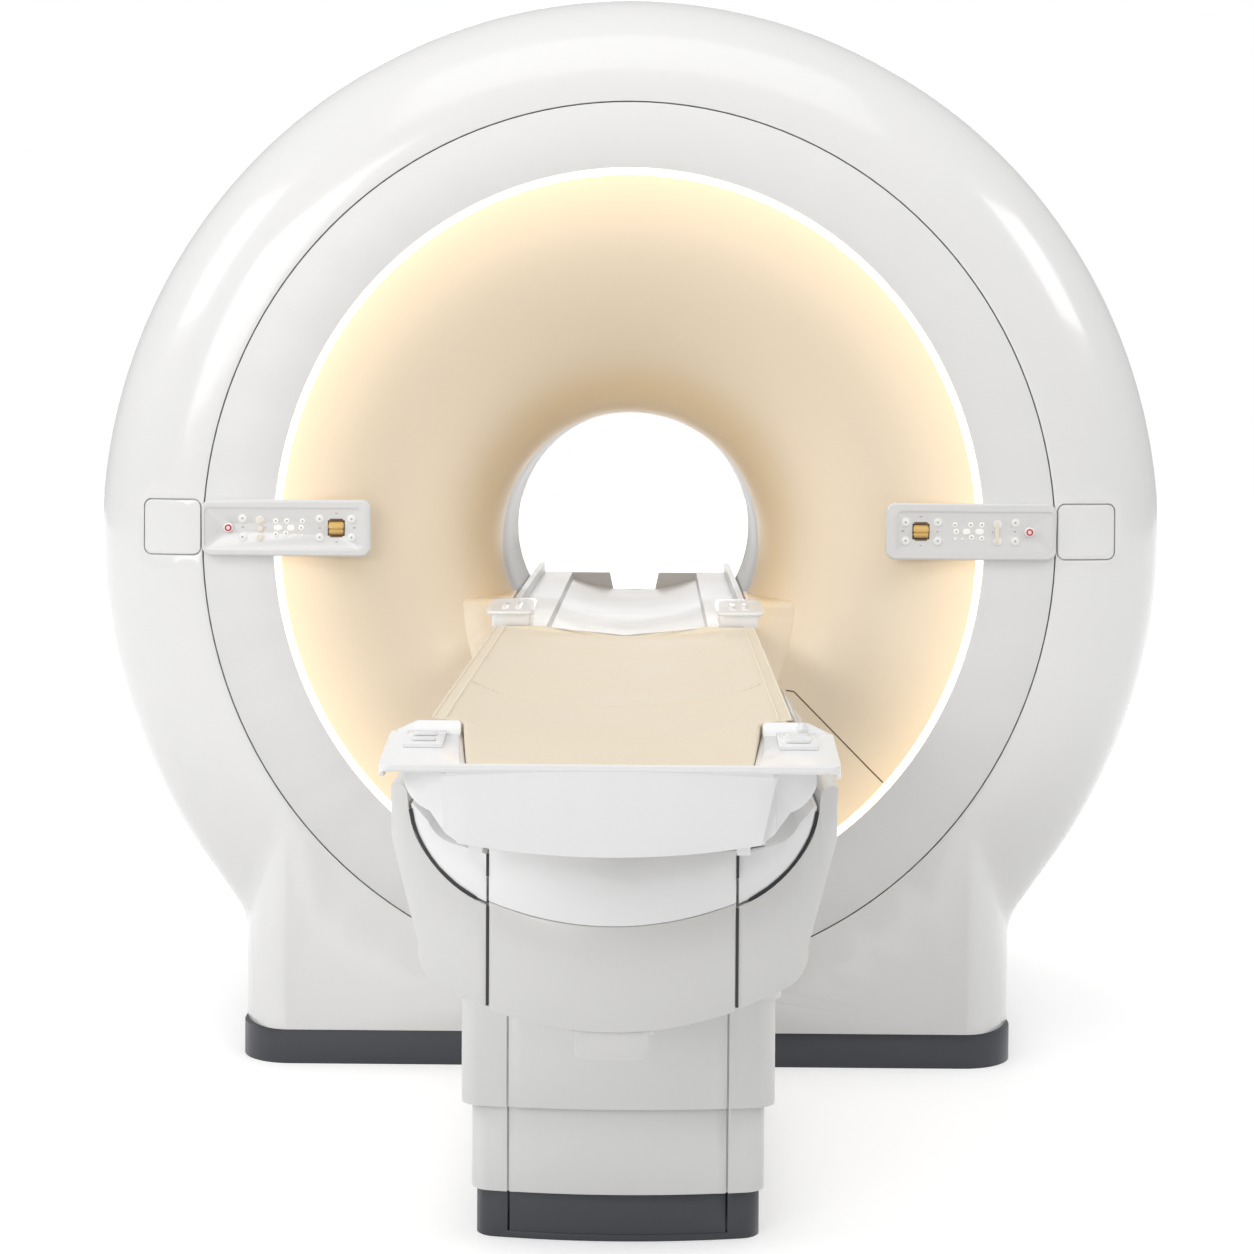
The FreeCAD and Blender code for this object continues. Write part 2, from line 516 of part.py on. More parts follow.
def control_panels():
    """Panels across the face ring and the light ring, with their keys, stop buttons and travel wheels."""
    front, back = PANEL_FRONT_Y, FACE_Y - SEAT
    z0, z1 = PANEL_Z - PANEL_H / 2, PANEL_Z + PANEL_H / 2
    plate = box(PANEL_IN_X, PANEL_OUT_X, front, back, z0, z1)
    plate = plate.makeFillet(20, [e for e in plate.Edges if abs(e.Vertexes[0].Y - e.Vertexes[1].Y) > 1])
    rim = [e for e in plate.Edges if all(abs(v.Y - front) < 0.01 for v in e.Vertexes)]
    plate = plate.makeChamfer(4, rim)
    tray = box(PANEL_IN_X + 24, PANEL_OUT_X - 5, front - 1, front + RECESS, z0 + 18, z1 - 18)
    tray = tray.makeFillet(10, [e for e in tray.Edges if abs(e.Vertexes[0].Y - e.Vertexes[1].Y) > 1])
    boss = box(PANEL_IN_X + 22, RING_A - 28, back - 1, RIM_Y, z0 + 16, z1 - 16).common(funnel_plug(-SEAT, 8))
    panel = plate.fuse(boss).cut(tray)

    half = WHEEL_W / 2
    well = box(WHEEL_X - half - 1.5, WHEEL_X + half + 1.5, front - 1, WHEEL_Y + WHEEL_R + 2,
               PANEL_Z - WHEEL_R - 2, PANEL_Z + WHEEL_R + 2)
    axle_r, axle_out = 3.0, 5.0
    axle = Part.makeCylinder(axle_r, WHEEL_W + 2 * axle_out, Vector(WHEEL_X - half - axle_out, WHEEL_Y, PANEL_Z),
                             Vector(1, 0, 0))
    bearing = Part.makeCylinder(axle_r + 0.06, WHEEL_W + 2 * axle_out + 2,
                                Vector(WHEEL_X - half - axle_out - 1, WHEEL_Y, PANEL_Z), Vector(1, 0, 0))
    button_well = Part.makeCylinder(STOP_R + 0.4, 13, Vector(STOP_X, front - 1, PANEL_Z), Vector(0, 1, 0))
    panel = panel.cut(fused([well, bearing, button_well]))

    rims = [(-half, WHEEL_R - 2), (-half + 5, WHEEL_R), (0, WHEEL_WAIST_R), (half - 5, WHEEL_R),
            (half, WHEEL_R - 2)]
    rims = [even_polygon(Vector(WHEEL_X + dx, WHEEL_Y, PANEL_Z), r, WHEEL_RIBS, Vector(0, 1, 0),
                         Vector(0, 0, 1)) for dx, r in rims]
    wheel = Part.makeLoft(rims, True, True).fuse(axle)

    button = Part.makeCylinder(STOP_R, 8, Vector(STOP_X, front - 0.5, PANEL_Z), Vector(0, 1, 0))
    dome = Part.makeSphere(14.0, Vector(STOP_X, front + 8, PANEL_Z)).common(
        Part.makeCylinder(STOP_R, 9, Vector(STOP_X, front - 8.5, PANEL_Z), Vector(0, 1, 0)))
    button = button.fuse(dome)

    floor_y = front + RECESS
    keys = [panel_key(-x, PANEL_Z + dz, floor_y) for x, dz in KEY_PLACES]
    save("panel_keys", Part.makeCompound(keys + [mirrored(key) for key in keys]))
    for name, shape in (("control_panel", panel), ("travel_wheel", wheel), ("stop_button", button)):
        save(name + "_right", shape)
        save(name + "_left", mirrored(shape))


# ---------------------------------------------------------------- telescopic column
LIFT_Y = (-1685.0, -1225.0)                 # the two lift cylinders
TUBE_R = (75.0, 66.5, 59.5, 52.5)           # outer radii: cylinder, lower stage, upper stage, rod
TUBE_BORE = (67.0, 60.0, 53.0, 0)           # inner radii; the rod is solid
TUBE_Z = ((12.0, 190.0), (130.0, 285.0), (255.0, 462.0), (430.0, 654.7))


def stage_block(half_w, level, inset, z0, z1):
    """Block on the footprint of a column stage, drawn in by the inset: bulged front, rounded corners."""
    w = half_w - inset
    front = COLUMN_FRONT_Y + COLUMN_STEP_Y * level + inset
    rear = COLUMN_REAR_Y - COLUMN_STEP_Y * level - inset
    cheek = front + COLUMN_BULGE
    edges = [Part.Arc(Vector(-w, cheek, z0), Vector(0, front, z0), Vector(w, cheek, z0)).toShape(),
             Part.makeLine(Vector(w, cheek, z0), Vector(w, rear, z0)),
             Part.makeLine(Vector(w, rear, z0), Vector(-w, rear, z0)),
             Part.makeLine(Vector(-w, rear, z0), Vector(-w, cheek, z0))]
    body = Part.Face(Part.Wire(edges)).extrude(Vector(0, 0, z1 - z0))
    upright_edges = [e for e in body.Edges if abs(e.Vertexes[0].Z - e.Vertexes[-1].Z) > 1]
    return body.makeFillet(COLUMN_CORNER - inset, upright_edges)


def stage(name, panel_name, half_w, level, z0, z1, plate_at_top, hole_r):
    """One stage of the column: a wrap with a plate, and the front panel that laps on it."""
    wall = SLEEVE_WALL
    front = COLUMN_FRONT_Y + COLUMN_STEP_Y * level
    outer = stage_block(half_w, level, 0, z0, z1)
    low, high = (z0 - 1, z1 - SLEEVE_PLATE) if plate_at_top else (z0 + 12, z1 + 1)
    inner = stage_block(half_w, level, wall, low, high)
    open_low, open_high = (z0 - 1, high - SEAT) if plate_at_top else (low + SEAT, z1 + 1)
    reach = FRONT_PANEL_HALF_W + FRONT_PANEL_GAP
    window = box(-reach, reach, front - 1, front + COLUMN_BULGE, open_low, open_high)
    wrap = outer.cut(inner).cut(window.common(outer.cut(stage_block(half_w, level, wall, z0 - 2, z1 + 2))))
    lap_z0, lap_z1 = (z0, high) if plate_at_top else (low, z1)
    laps = stage_block(half_w, level, wall, lap_z0, lap_z1).cut(
        stage_block(half_w, level, wall + 5, lap_z0 - 1, lap_z1 + 1))
    laps = laps.common(fused(both_sides(reach - 22, reach + 14, front, front + 60, z0, z1)))
    wrap = wrap.fuse(laps)
    holes = [upright(hole_r, 0, y, z1 - SLEEVE_PLATE - 1, z1 + 1) for y in LIFT_Y]
    if plate_at_top:
        wrap = wrap.cut(fused(holes))
    skin = outer.cut(stage_block(half_w, level, wall - SEAT, z0 - 1, z1 + 1))
    panel = skin.common(box(-FRONT_PANEL_HALF_W, FRONT_PANEL_HALF_W, front - 1, front + COLUMN_BULGE,
                            z0 if plate_at_top else low + SEAT, high - SEAT if plate_at_top else z1))
    if level == 0:
        collar = stage_block(half_w + 10, level, 0, z1 - 12, z1).cut(
            stage_block(half_w, level, 1, z1 - 13, z1 + 1))
        wrap = wrap.fuse(collar)
        panel = panel.cut(stage_block(half_w + 10, level, 0, z1 - 12 - SEAT, z1 + 1))
    save(name, wrap)
    save(panel_name, panel)


def column():
    """Plinth, two sleeves, and the telescoping lift cylinders inside them."""
    stage("pedestal_base", "pedestal_panel", BASE_HALF_W, 2, 0, BASE_TOP_Z, False, 0)
    stage("middle_sleeve", "middle_panel", MIDDLE_HALF_W, 1, MIDDLE_BOTTOM_Z, MIDDLE_TOP_Z, True,
          TUBE_R[1] + SEAT)
    stage("upper_sleeve", "upper_panel", UPPER_HALF_W, 0, UPPER_BOTTOM_Z, UPPER_TOP_Z, True,
          TUBE_R[2] + SEAT)
    names = ("lift_cylinders", "lower_lift_tubes", "upper_lift_tubes", "lift_rods")
    for name, r, bore, (z0, z1) in zip(names, TUBE_R, TUBE_BORE, TUBE_Z):
        pair = [upright(r, 0, y, z0, z1) for y in LIFT_Y]
        if bore:
            pair = [rod.cut(upright(bore, 0, y, z0 - 1, z1 + 1)) for rod, y in zip(pair, LIFT_Y)]
        save(name, Part.makeCompound(pair))


# ---------------------------------------------------------------- lift housing
def housing_plan(inset, z0, z1):
    """Everything behind the housing's curved front, drawn in by the inset."""
    r = HOUSING_FRONT_R - inset
    mid_y = HOUSING_FRONT_Y + HOUSING_FRONT_R
    w0, w1 = HOUSING_HALF_W + 1 - inset, HOUSING_REAR_HALF_W - inset
    rear_y = HOUSING_REAR_Y + 60
    sides = [(-w0, HOUSING_FRONT_Y), (w0, HOUSING_FRONT_Y), (w0, mid_y), (w1, rear_y), (-w1, rear_y), (-w0, mid_y)]
    sides = [Vector(x, y, z0) for x, y in sides]
    body = Part.Face(Part.makePolygon(sides + sides[:1])).extrude(Vector(0, 0, z1 - z0))
    return body.common(upright(r, 0, mid_y, z0, z1).fuse(box(-r, r, mid_y, rear_y, z0, z1)))


# front view of the right wing: the gap under its inner lip, its top, flank and lower edge
WING = [(184, 567.5), (184, 717), ((227, 736), (260, 761.5)), ((292, 804), (306, 850)), (308, 868),
        ((321, 879), (334, 850)), (334, 798), (289, 645), ((282, 609), (257, 589))]
# front view of the right inner lip, above the gap
LIP = [(184, 721), ((226, 740.5), (257, 765)), ((288, 806), (302, 851)), (298, 851), (274, 829),
       ((262, 813), (244, 803)), (184, 791)]


def underside(raise_by):
    """What is taken off below the housing, where it rises over the column."""
    z = FRAME_BOTTOM_Z + raise_by
    points = [(-2420, 500), (-2420, 556 + raise_by), (-1960, z), (HOUSING_REAR_Y + 10, z),
              (HOUSING_REAR_Y + 10, 500)]
    return side_profile(points, 150, 360)


def hollow_moulding(points, skin, front_inset):
    """Shell of an outline that runs the length of the housing, open at the rear."""
    y0, length = HOUSING_FRONT_Y, HOUSING_REAR_Y - HOUSING_FRONT_Y
    wire = ring_wire(points, y0)
    plan = housing_plan(front_inset, 500, 900)
    outer = prism(wire, length).common(plan).cut(underside(0))
    core = wire.makeOffset2D(-skin)
    inner = prism(core, length + 20).common(housing_plan(front_inset + skin, 500, 900)).cut(underside(skin))
    return outer.cut(inner)


def centre_band(points, inset):
    """Curved panel between the wings, of an outline in front view."""
    body = front_profile(points, HOUSING_FRONT_Y - 1, HOUSING_FRONT_Y + 60)
    return body.common(housing_plan(inset, 500, 900)).cut(housing_plan(inset + HOUSING_SKIN, 490, 910))


def housing():
    """Wings with their inner lips, apron, fascia, rear cover and release handle."""
    wing = hollow_moulding(WING, HOUSING_SKIN, 0)
    save("wing_right", wing)
    save("wing_left", mirrored(wing))
    lip = hollow_moulding(LIP, 4.0, 4.0)
    save("wing_lip_right", lip)
    save("wing_lip_left", mirrored(lip))

    w = CENTRE_HALF_W
    deck_top = DECK_Z + 9
    apron = centre_band([(w, 723), (w, deck_top), (-w, deck_top), (-w, 723), ((0, 695), (w, 723))], 0)
    deck = box(-w - 3.2, w + 3.2, HOUSING_FRONT_Y + 60, HOUSING_REAR_Y, deck_top - 5, deck_top)
    deck_front = box(-w, w, HOUSING_FRONT_Y - 1, HOUSING_FRONT_Y + 61, deck_top - 5, deck_top).common(
        housing_plan(2, 500, 900))
    save("front_apron", fused([apron, deck, deck_front]))
    save("front_fascia", centre_band([(w, 564), (w, 722.3), ((0, 694.3), (-w, 722.3)), (-w, 564),
                                      ((0, 541), (w, 564))], 0))

    rear = [(330, 804), (330, 856), (306, 868), (262, 812), (244, DECK_Z + 8)]
    rear += [(-x, z) for x, z in reversed(rear)] + [(-291, FRAME_BOTTOM_Z), (291, FRAME_BOTTOM_Z)]
    rear = front_profile(rear, HOUSING_REAR_Y + SEAT, HOUSING_REAR_Y + SEAT + 5)
    save("housing_rear_cover", rear.common(housing_plan(0, 500, 900)))


HANDLE_HALF_W, HANDLE_LOW_Z, HANDLE_TOP_Z = 54.0, 498.0, 560.0
HANDLE_PIVOT_Z = 546.0
HANDLE_PIVOT_Y = HOUSING_FRONT_Y + HOUSING_SKIN + 9.5
PIVOT_R = 4.0


def release_handle():
    """Pull handle under the fascia, on a pin between two ears."""
    w = HANDLE_HALF_W
    blade = front_profile([(w, HANDLE_LOW_Z + 12), (w, HANDLE_TOP_Z), (-w, HANDLE_TOP_Z),
                           (-w, HANDLE_LOW_Z + 12), ((-w + 4, HANDLE_LOW_Z + 4), (-w + 12, HANDLE_LOW_Z)),
                           (w - 12, HANDLE_LOW_Z), ((w - 4, HANDLE_LOW_Z + 4), (w, HANDLE_LOW_Z + 12))],
                          HOUSING_FRONT_Y, HOUSING_FRONT_Y + 40)
    blade = blade.common(housing_plan(HOUSING_SKIN + 3, 490, 570)).cut(
        housing_plan(HOUSING_SKIN + 12, 480, 580))
    pin = Part.makeCylinder(PIVOT_R, 2 * w + 18, Vector(-w - 9, HANDLE_PIVOT_Y, HANDLE_PIVOT_Z), Vector(1, 0, 0))
    save("release_handle", blade.fuse(pin))

    hole = Part.makeCylinder(PIVOT_R + 0.06, 2 * w + 40, Vector(-w - 20, HANDLE_PIVOT_Y, HANDLE_PIVOT_Z),
                             Vector(1, 0, 0))
    ears = both_sides(w + 2, w + 8, HANDLE_PIVOT_Y - 14, HANDLE_PIVOT_Y + 14, HANDLE_PIVOT_Z - 10,
                      HANDLE_TOP_Z + 22)
    bar = box(-w - 8, w + 8, HANDLE_PIVOT_Y - 14, HANDLE_PIVOT_Y + 14, HANDLE_TOP_Z + 14, HANDLE_TOP_Z + 22)
    bracket = fused(ears + [bar]).cut(hole).common(housing_plan(HOUSING_SKIN + SEAT, 490, 700))
    save("handle_bracket", bracket)


def lift_frame():
    """Ladder frame on the lift rods, and the fixed support of the table top's head end."""
    z0, z1 = FRAME_BOTTOM_Z, FRAME_TOP_Z
    y0, y1 = HOUSING_FRONT_Y + 100, HOUSING_REAR_Y - SEAT
    beams = both_sides(100, 160, y0, y1, z0, z1)
    bores = both_sides(106, 154, y0 - 1, y1 + 1, z0 + 6, z1 - 6)
    ties = [box(-100, 100, y - 30, y + 30, z0, z0 + 90) for y in (y0 + 40, -2000, y1 - 40)]
    pads = [box(-100, 100, y - 72, y + 72, z0, z0 + 14) for y in LIFT_Y]
    arms = []
    for y in (y0 + 60, -2000, y1 - 60):
        arms += both_sides(159, 183.5, y - 30, y + 30, 700, z1)
    posts = both_sides(100, 160, -2200, -2160, z1, DECK_Z + 9 - 5 - SEAT)
    posts += both_sides(100, 160, -1400, -1340, z1, DECK_Z + 9 - 5 - SEAT)
    snout = box(-60, 60, HOUSING_FRONT_Y - 1, y0 + 60, 700, 740).common(
        housing_plan(HOUSING_SKIN + SEAT, 500, 900))
    frame = fused(beams).cut(fused(bores))
    save("lift_frame", fused([frame] + ties + pads + arms + posts + [snout]))

    base = DECK_Z + 9 + SEAT
    strip_x = 88.0
    strip_z = table_under(strip_x) - SLIDE
    y0, y1 = -1600, TABLE_HEAD_Y - 4
    cradle = both_sides(strip_x, strip_x + 44, y0, y1, base, strip_z)
    cradle += [box(-strip_x, strip_x, y, y + 12, base, strip_z - 25) for y in (y0, (y0 + y1) / 2, y1 - 12)]
    cradle += [box(-strip_x, strip_x, y0, y1, strip_z - 31, strip_z - 25)]
    save("support_cradle", fused(cradle))
    save("slide_rails", Part.makeCompound(both_sides(194, 224, HOUSING_FRONT_Y + 80, HOUSING_REAR_Y - 2,
                                                     799.5, CARRIAGE_Z - SLIDE)))


# ---------------------------------------------------------------- travelling top
CARRIAGE_Z, CARRIAGE_FRONT_Y, CARRIAGE_REAR_Y = 834.0, -2600.0, -2160.0
TABLE_FOOT_Y = BOW_REAR_Y + SEAT
DISH_R = dish_radius(TABLE_HALF_W - TABLE_LIP, TABLE_DISH_EDGE_Z - TABLE_DISH_Z)


def table_under(x):
    """Height of the table top's underside at a distance x from the middle."""
    return TABLE_DISH_Z - TABLE_T + arc_depth(DISH_R + TABLE_T, x)


def dish_cylinder(grow, y0, y1):
    """Cylinder whose lower side is the table top's dished surface."""
    centre_z = TABLE_DISH_Z + DISH_R
    return Part.makeCylinder(DISH_R + grow, y1 - y0, Vector(0, y0, centre_z), Vector(0, 1, 0))


def table_top():
    """Dished table top, the carriage beams under it, and the blocks at its head end."""
    w, lip = TABLE_HALF_W, TABLE_LIP
    in_x, under_x = w - lip, w - TABLE_T
    low_z = TABLE_EDGE_Z - 25
    half = [(under_x, table_under(under_x)), (under_x, low_z), (w, low_z), (w, TABLE_EDGE_Z),
            (in_x, TABLE_EDGE_Z), (in_x, TABLE_DISH_EDGE_Z)]
    points = half + [((0, TABLE_DISH_Z), (-in_x, TABLE_DISH_EDGE_Z))]
    points += [(-x, z) for x, z in reversed(half[:-1])]
    points += [((0, TABLE_DISH_Z - TABLE_T), half[0])]
    save("tabletop", front_profile(points, TABLE_FOOT_Y, TABLE_HEAD_Y))

    beam_x = w - 55
    beams = both_sides(beam_x, beam_x + 38, CARRIAGE_FRONT_Y, CARRIAGE_REAR_Y, CARRIAGE_Z,
                       table_under(beam_x) - SLIDE)
    save("table_carriage", Part.makeCompound(beams))

    y0, y1 = -1290.0, TABLE_HEAD_Y - 2
    head = side_profile([(y0, TABLE_EDGE_Z + SEAT), (y0, 1034), (y1, 1047), (y1, TABLE_EDGE_Z + SEAT)],
                        w - 59, w + 17)
    head = head.makeFillet(7, [e for e in head.Edges if abs(e.Vertexes[0].Y - e.Vertexes[1].Y) < 0.1
                               and abs(e.Vertexes[0].Z - e.Vertexes[1].Z) > 5])
    foot = box(w - 57, in_x - SEAT, y0 + 2, y1, TABLE_DISH_Z, TABLE_EDGE_Z + 1).common(
        dish_cylinder(-SEAT, y0, y1))
    slope = (1047.0 - 1034.0) / (y1 - y0)
    rib_y0, rib_y1 = y0 + 40, y0 + 110
    low0, low1 = 1034 + slope * (rib_y0 - y0), 1034 + slope * (rib_y1 - y0)
    ribs = [side_profile([(rib_y0, low0 - 2), (rib_y0, low0 + 2.5), (rib_y1, low1 + 2.5), (rib_y1, low1 - 2)],
                         x, x + 12) for x in (w - 39, w - 13)]
    block = fused([head, foot] + ribs)
    save("head_block_right", block)
    save("head_block_left", mirrored(block))


def pad_section(y, half_w, edge_top, centre_top, bottom, dished):
    """Cross-section of the mattress: dished top with a raised welt along each side."""
    w = half_w
    welt = 18.0
    edge_low = bottom + (arc_depth(DISH_R - SEAT, w) if dished else 0)
    side_top = edge_top - 3
    points = [(w, edge_low), (w, side_top), ((w - welt / 2, edge_top + 2), (w - welt, edge_top)),
              ((0, centre_top), (-w + welt, edge_top)), ((-w + welt / 2, edge_top + 2), (-w, side_top)),
              (-w, edge_low), ((0, bottom), (w, edge_low))]
    if not dished:
        points[-1] = ((0, bottom - 0.2), (w, edge_low))
    return ring_wire(points, y)


def lapped_section(y, side_top, centre_top):
    """Cross-section of the mattress where it also lies on the top's lips."""
    w, out, ledge = TABLE_HALF_W - TABLE_LIP - 3, MATTRESS_HALF_W, TABLE_EDGE_Z + SEAT
    bottom = TABLE_DISH_Z + SEAT
    low_z = bottom + arc_depth(DISH_R - SEAT, w)
    half = [(w, low_z), (w, ledge), (out, ledge), (out, side_top)]
    points = half + [((out - 8, side_top + 2.5), (out - 17, side_top + 0.5)),
                     ((0, centre_top), (-out + 17, side_top + 0.5)), ((-out + 8, side_top + 2.5), (-out, side_top))]
    points += [(-x, z) for x, z in reversed(half[:-1])]
    points += [((0, bottom), (w, low_z))]
    return ring_wire(points, y)


def mattress():
    """Mattress in the dish: full width, a tongue at the head end, thinning onto the end bow at the foot."""
    bottom = TABLE_DISH_Z + SEAT
    top = TABLE_DISH_Z + MATTRESS_T
    side = TABLE_EDGE_Z + 2.5
    body = Part.makeLoft([lapped_section(BOW_REAR_Y + 1, side - 1, top - 6),
                          lapped_section(-2640, side, top - 3),
                          lapped_section(-2560, side, top - 1),
                          lapped_section(-2460, side, top),
                          lapped_section(-1345, side, top),
                          lapped_section(-1312, side - 0.5, top - 1.5),
                          lapped_section(-1294, side - 1.5, top - 5)], True, True)
    tongue_edge, tongue_w, neck_w = TABLE_EDGE_Z - 10, TABLE_HALF_W - 85, TABLE_HALF_W - 47
    tongue = Part.makeLoft([pad_section(-1330, tongue_w, tongue_edge, top - 2.5, bottom, True),
                            pad_section(-1275, tongue_w, tongue_edge, top - 2.5, bottom, True),
                            pad_section(MATTRESS_HEAD_Y, tongue_w - 2, tongue_edge - 5, top - 8, bottom, True)],
                           True, True)
    neck = Part.makeLoft([pad_section(y, neck_w, 994, 981.5, bottom, True)
                          for y in (BOW_REAR_Y - SEAT, BOW_REAR_Y + 3)], True, True)
    foot_low = TRAY_Z + SEAT
    sections = []
    for y, edge_z, centre_z in ((BOW_REAR_Y - SEAT, 998, 983.5), (-2735, 991, 979.5), (-2770, 981.5, 974.5),
                                (-2815, 970, 967.5), (BOW_FRONT_Y + 22, 960.5, 959.5)):
        share = (y - BOW_FRONT_Y - 18) / (BOW_REAR_Y - BOW_FRONT_Y - 18)
        half_w = MOUTH_FRONT_W + (MOUTH_REAR_W - MOUTH_FRONT_W) * share - 3
        sections.append(pad_section(y, half_w, edge_z, centre_z, foot_low, False))
    foot = Part.makeLoft(sections, True, True)
    pad = fused([body, tongue, neck, foot])
    seam_y, groove_w, groove_d = MATTRESS_SEAM_Y + MATTRESS_SEAM_R, 3.0, 2.5
    discs = [Part.makeCylinder(MATTRESS_SEAM_R + grow, 60, Vector(0, seam_y, bottom))
             for grow in (groove_w / 2, -groove_w / 2)]
    seam_w = TABLE_HALF_W - 9
    strip = discs[0].cut(discs[1]).common(box(-seam_w, seam_w, -2400, -2150, bottom, side + 10))
    lowered = body.translated(Vector(0, 0, -groove_d))
    save("mattress", pad.cut(strip.cut(lowered)))


def bow_outline(top_z, y0, y1):
    """Front outline of the bow below its ears: drawn in at the sides towards the bottom."""
    half = [(281, top_z), (281, 930), ((271, 913), (244, 898)), (220, 869), (204, BOW_BOTTOM_SIDE_Z - 1)]
    other = [(-204, BOW_BOTTOM_SIDE_Z - 1), (-220, 869), (-244, 898), ((-271, 913), (-281, 930)), (-281, top_z)]
    return front_profile(half + other, y0, y1)


def end_bow():
    """Moulded end of the top: lip, two ears, front wall, slanted cheeks, side skirts and catches."""
    rise = (BOW_EAR_Z - BOW_LIP_Z) / (BOW_REAR_Y - BOW_FRONT_Y)
    w, front, rear = BOW_HALF_W, BOW_FRONT_Y, BOW_REAR_Y
    slab = side_profile([(front, BOW_LIP_Z - BOW_SKIN), (front, BOW_LIP_Z), (rear, BOW_EAR_Z),
                         (rear, TRAY_Z - BOW_SKIN), (front + 18, TRAY_Z - BOW_SKIN)], -w, w)
    slab = slab.makeFillet(16, [e for e in slab.Edges if abs(abs(e.Vertexes[0].X) - w) < 0.1
                                and abs(e.Vertexes[0].Y - e.Vertexes[1].Y) < 0.1
                                and abs(e.Vertexes[0].X - e.Vertexes[1].X) < 0.1])
    slope = (MOUTH_REAR_W - MOUTH_FRONT_W) / (rear - front - 18)
    mouth = [Vector(-MOUTH_FRONT_W, front + 18, TRAY_Z), Vector(MOUTH_FRONT_W, front + 18, TRAY_Z),
             Vector(MOUTH_REAR_W + slope, rear + 1, TRAY_Z), Vector(-MOUTH_REAR_W - slope, rear + 1, TRAY_Z)]
    opening = Part.Face(Part.makePolygon(mouth + mouth[:1])).extrude(Vector(0, 0, 60))
    y0, y1 = front + 6, rear - 6
    under = [(y0, 940), (y0, BOW_LIP_Z + rise * (y0 - front) - BOW_SKIN),
             (y1, BOW_LIP_Z + rise * (y1 - front) - BOW_SKIN), (y1, 940)]
    under_ears = side_profile(under, MOUTH_REAR_W + 10, w - 6)
    slab = slab.cut(opening).cut(under_ears).cut(mirrored(under_ears))
    inner = [e for e in slab.Edges if MOUTH_FRONT_W - 1 < abs(e.Vertexes[0].X) < MOUTH_REAR_W + 2
             and MOUTH_FRONT_W - 1 < abs(e.Vertexes[-1].X) < MOUTH_REAR_W + 2 and e.Length > 100
             and min(v.Z for v in e.Vertexes) > TRAY_Z + 5]
    slab = slab.makeFillet(9, inner)

    under_lip = side_profile([(front, BOW_LIP_Z - 3), (rear, BOW_EAR_Z - 3), (rear, 790), (front, 790)], -w, w)
    cheek_y, wall_y = front + 84, front + 30
    hull = bow_outline(BOW_EAR_Z, wall_y - 10, rear - 1)
    core = [(275, 1000), (275, 932), ((266, 918), (240, 904)), (216, 875), (204, 866)]
    core += [(-204, 866), (-216, 875), (-240, 904), ((-266, 918), (-275, 932)), (-275, 1000)]
    skin = hull.cut(front_profile(core, wall_y - 11, rear))
    skin = skin.cut(box(-204, 204, wall_y - 11, rear, 800, 1000))
    plates = []
    for side in (1, -1):
        plan = [(side * x, y) for x, y in ((222, wall_y), (290, cheek_y), (290, cheek_y + BOW_SKIN),
                                           (222, wall_y + BOW_SKIN))]
        plan = [Vector(x, y, 800) for x, y in plan]
        plates.append(Part.Face(Part.makePolygon(plan + plan[:1])).extrude(Vector(0, 0, 200)))
    cheeks = fused(plates).common(hull).common(under_lip)
    skirts = skin.common(box(-w, w, cheek_y, rear - 1, 800, 1000)).common(under_lip)
    bulkhead = bow_outline(TRAY_Z - 3, wall_y, wall_y + BOW_SKIN).common(
        box(-224, 224, wall_y, wall_y + BOW_SKIN, 800, 1000))
    r = dish_radius(230, 16)
    lens = Part.makeCylinder(r, 300, Vector(0, front + 2 + r, 700)).common(
        box(-240, 240, front, front + 34, 700, 1000))
    face = front_profile([(228, BOW_LIP_Z - 5), (204, BOW_BOTTOM_SIDE_Z),
                          ((0, BOW_BOTTOM_Z), (-204, BOW_BOTTOM_SIDE_Z)), (-228, BOW_LIP_Z - 5)],
                         front - 10, front + 40)
    wall = lens.common(face).cut(box(-MOUTH_FRONT_W, MOUTH_FRONT_W, front + 18, front + 40, TRAY_Z, 1000))
    catches = both_sides(172, 190, wall_y + 4, wall_y + 34, 842, 872)
    save("end_bow", fused([slab, cheeks, skirts, bulkhead, wall] + catches))

    y0, y1, t = -2795.0, -2724.0, 5.0
    low0, low1 = [BOW_LIP_Z + rise * (y - front) + SEAT for y in (y0, y1)]
    plate = side_profile([(y0, low0), (y0, low0 + t), (y1, low1 + t), (y1, low1)], 230, 284)
    lift = t - 1 + rise * 14
    buttons = [box(240, 274, y, y + 10, low0 + lift + rise * (y - y0), low0 + lift + 4 + rise * (y - y0))
               for y in (y0 + 14, y0 + 42)]
    buttons = [b.makeFillet(4.5, [e for e in b.Edges if abs(e.Vertexes[0].Z - e.Vertexes[1].Z) > 1])
               for b in buttons]
    plate = fused([plate] + buttons)
    knob_y = rear - 12
    knob_low = BOW_LIP_Z + rise * (knob_y - front) + 1.5
    knob = upright(8, 266, knob_y, knob_low, knob_low + 8).fuse(upright(6, 266, knob_y, knob_low + 8, knob_low + 14))
    save("ear_latch_right", Part.makeCompound([plate, knob]))
    save("ear_latch_left", mirrored(plate))


if __name__ == "__main__":
    os.makedirs("parts", exist_ok=True)
    gantry_shells()
    face_rings()
    funnels()
    magnet_group()
    gantry_plinth()
    bridge()
    control_panels()
    column()
    housing()
    release_handle()
    lift_frame()
    table_top()
    mattress()
    end_bow()
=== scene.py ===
"""MRI scanner: finishes, mattress, controls and studio, as an add-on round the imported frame."""

import math

import bpy
from bpy.props import FloatProperty, FloatVectorProperty, PointerProperty
from mathutils import Color, Matrix, Vector
from mathutils.bvhtree import BVHTree


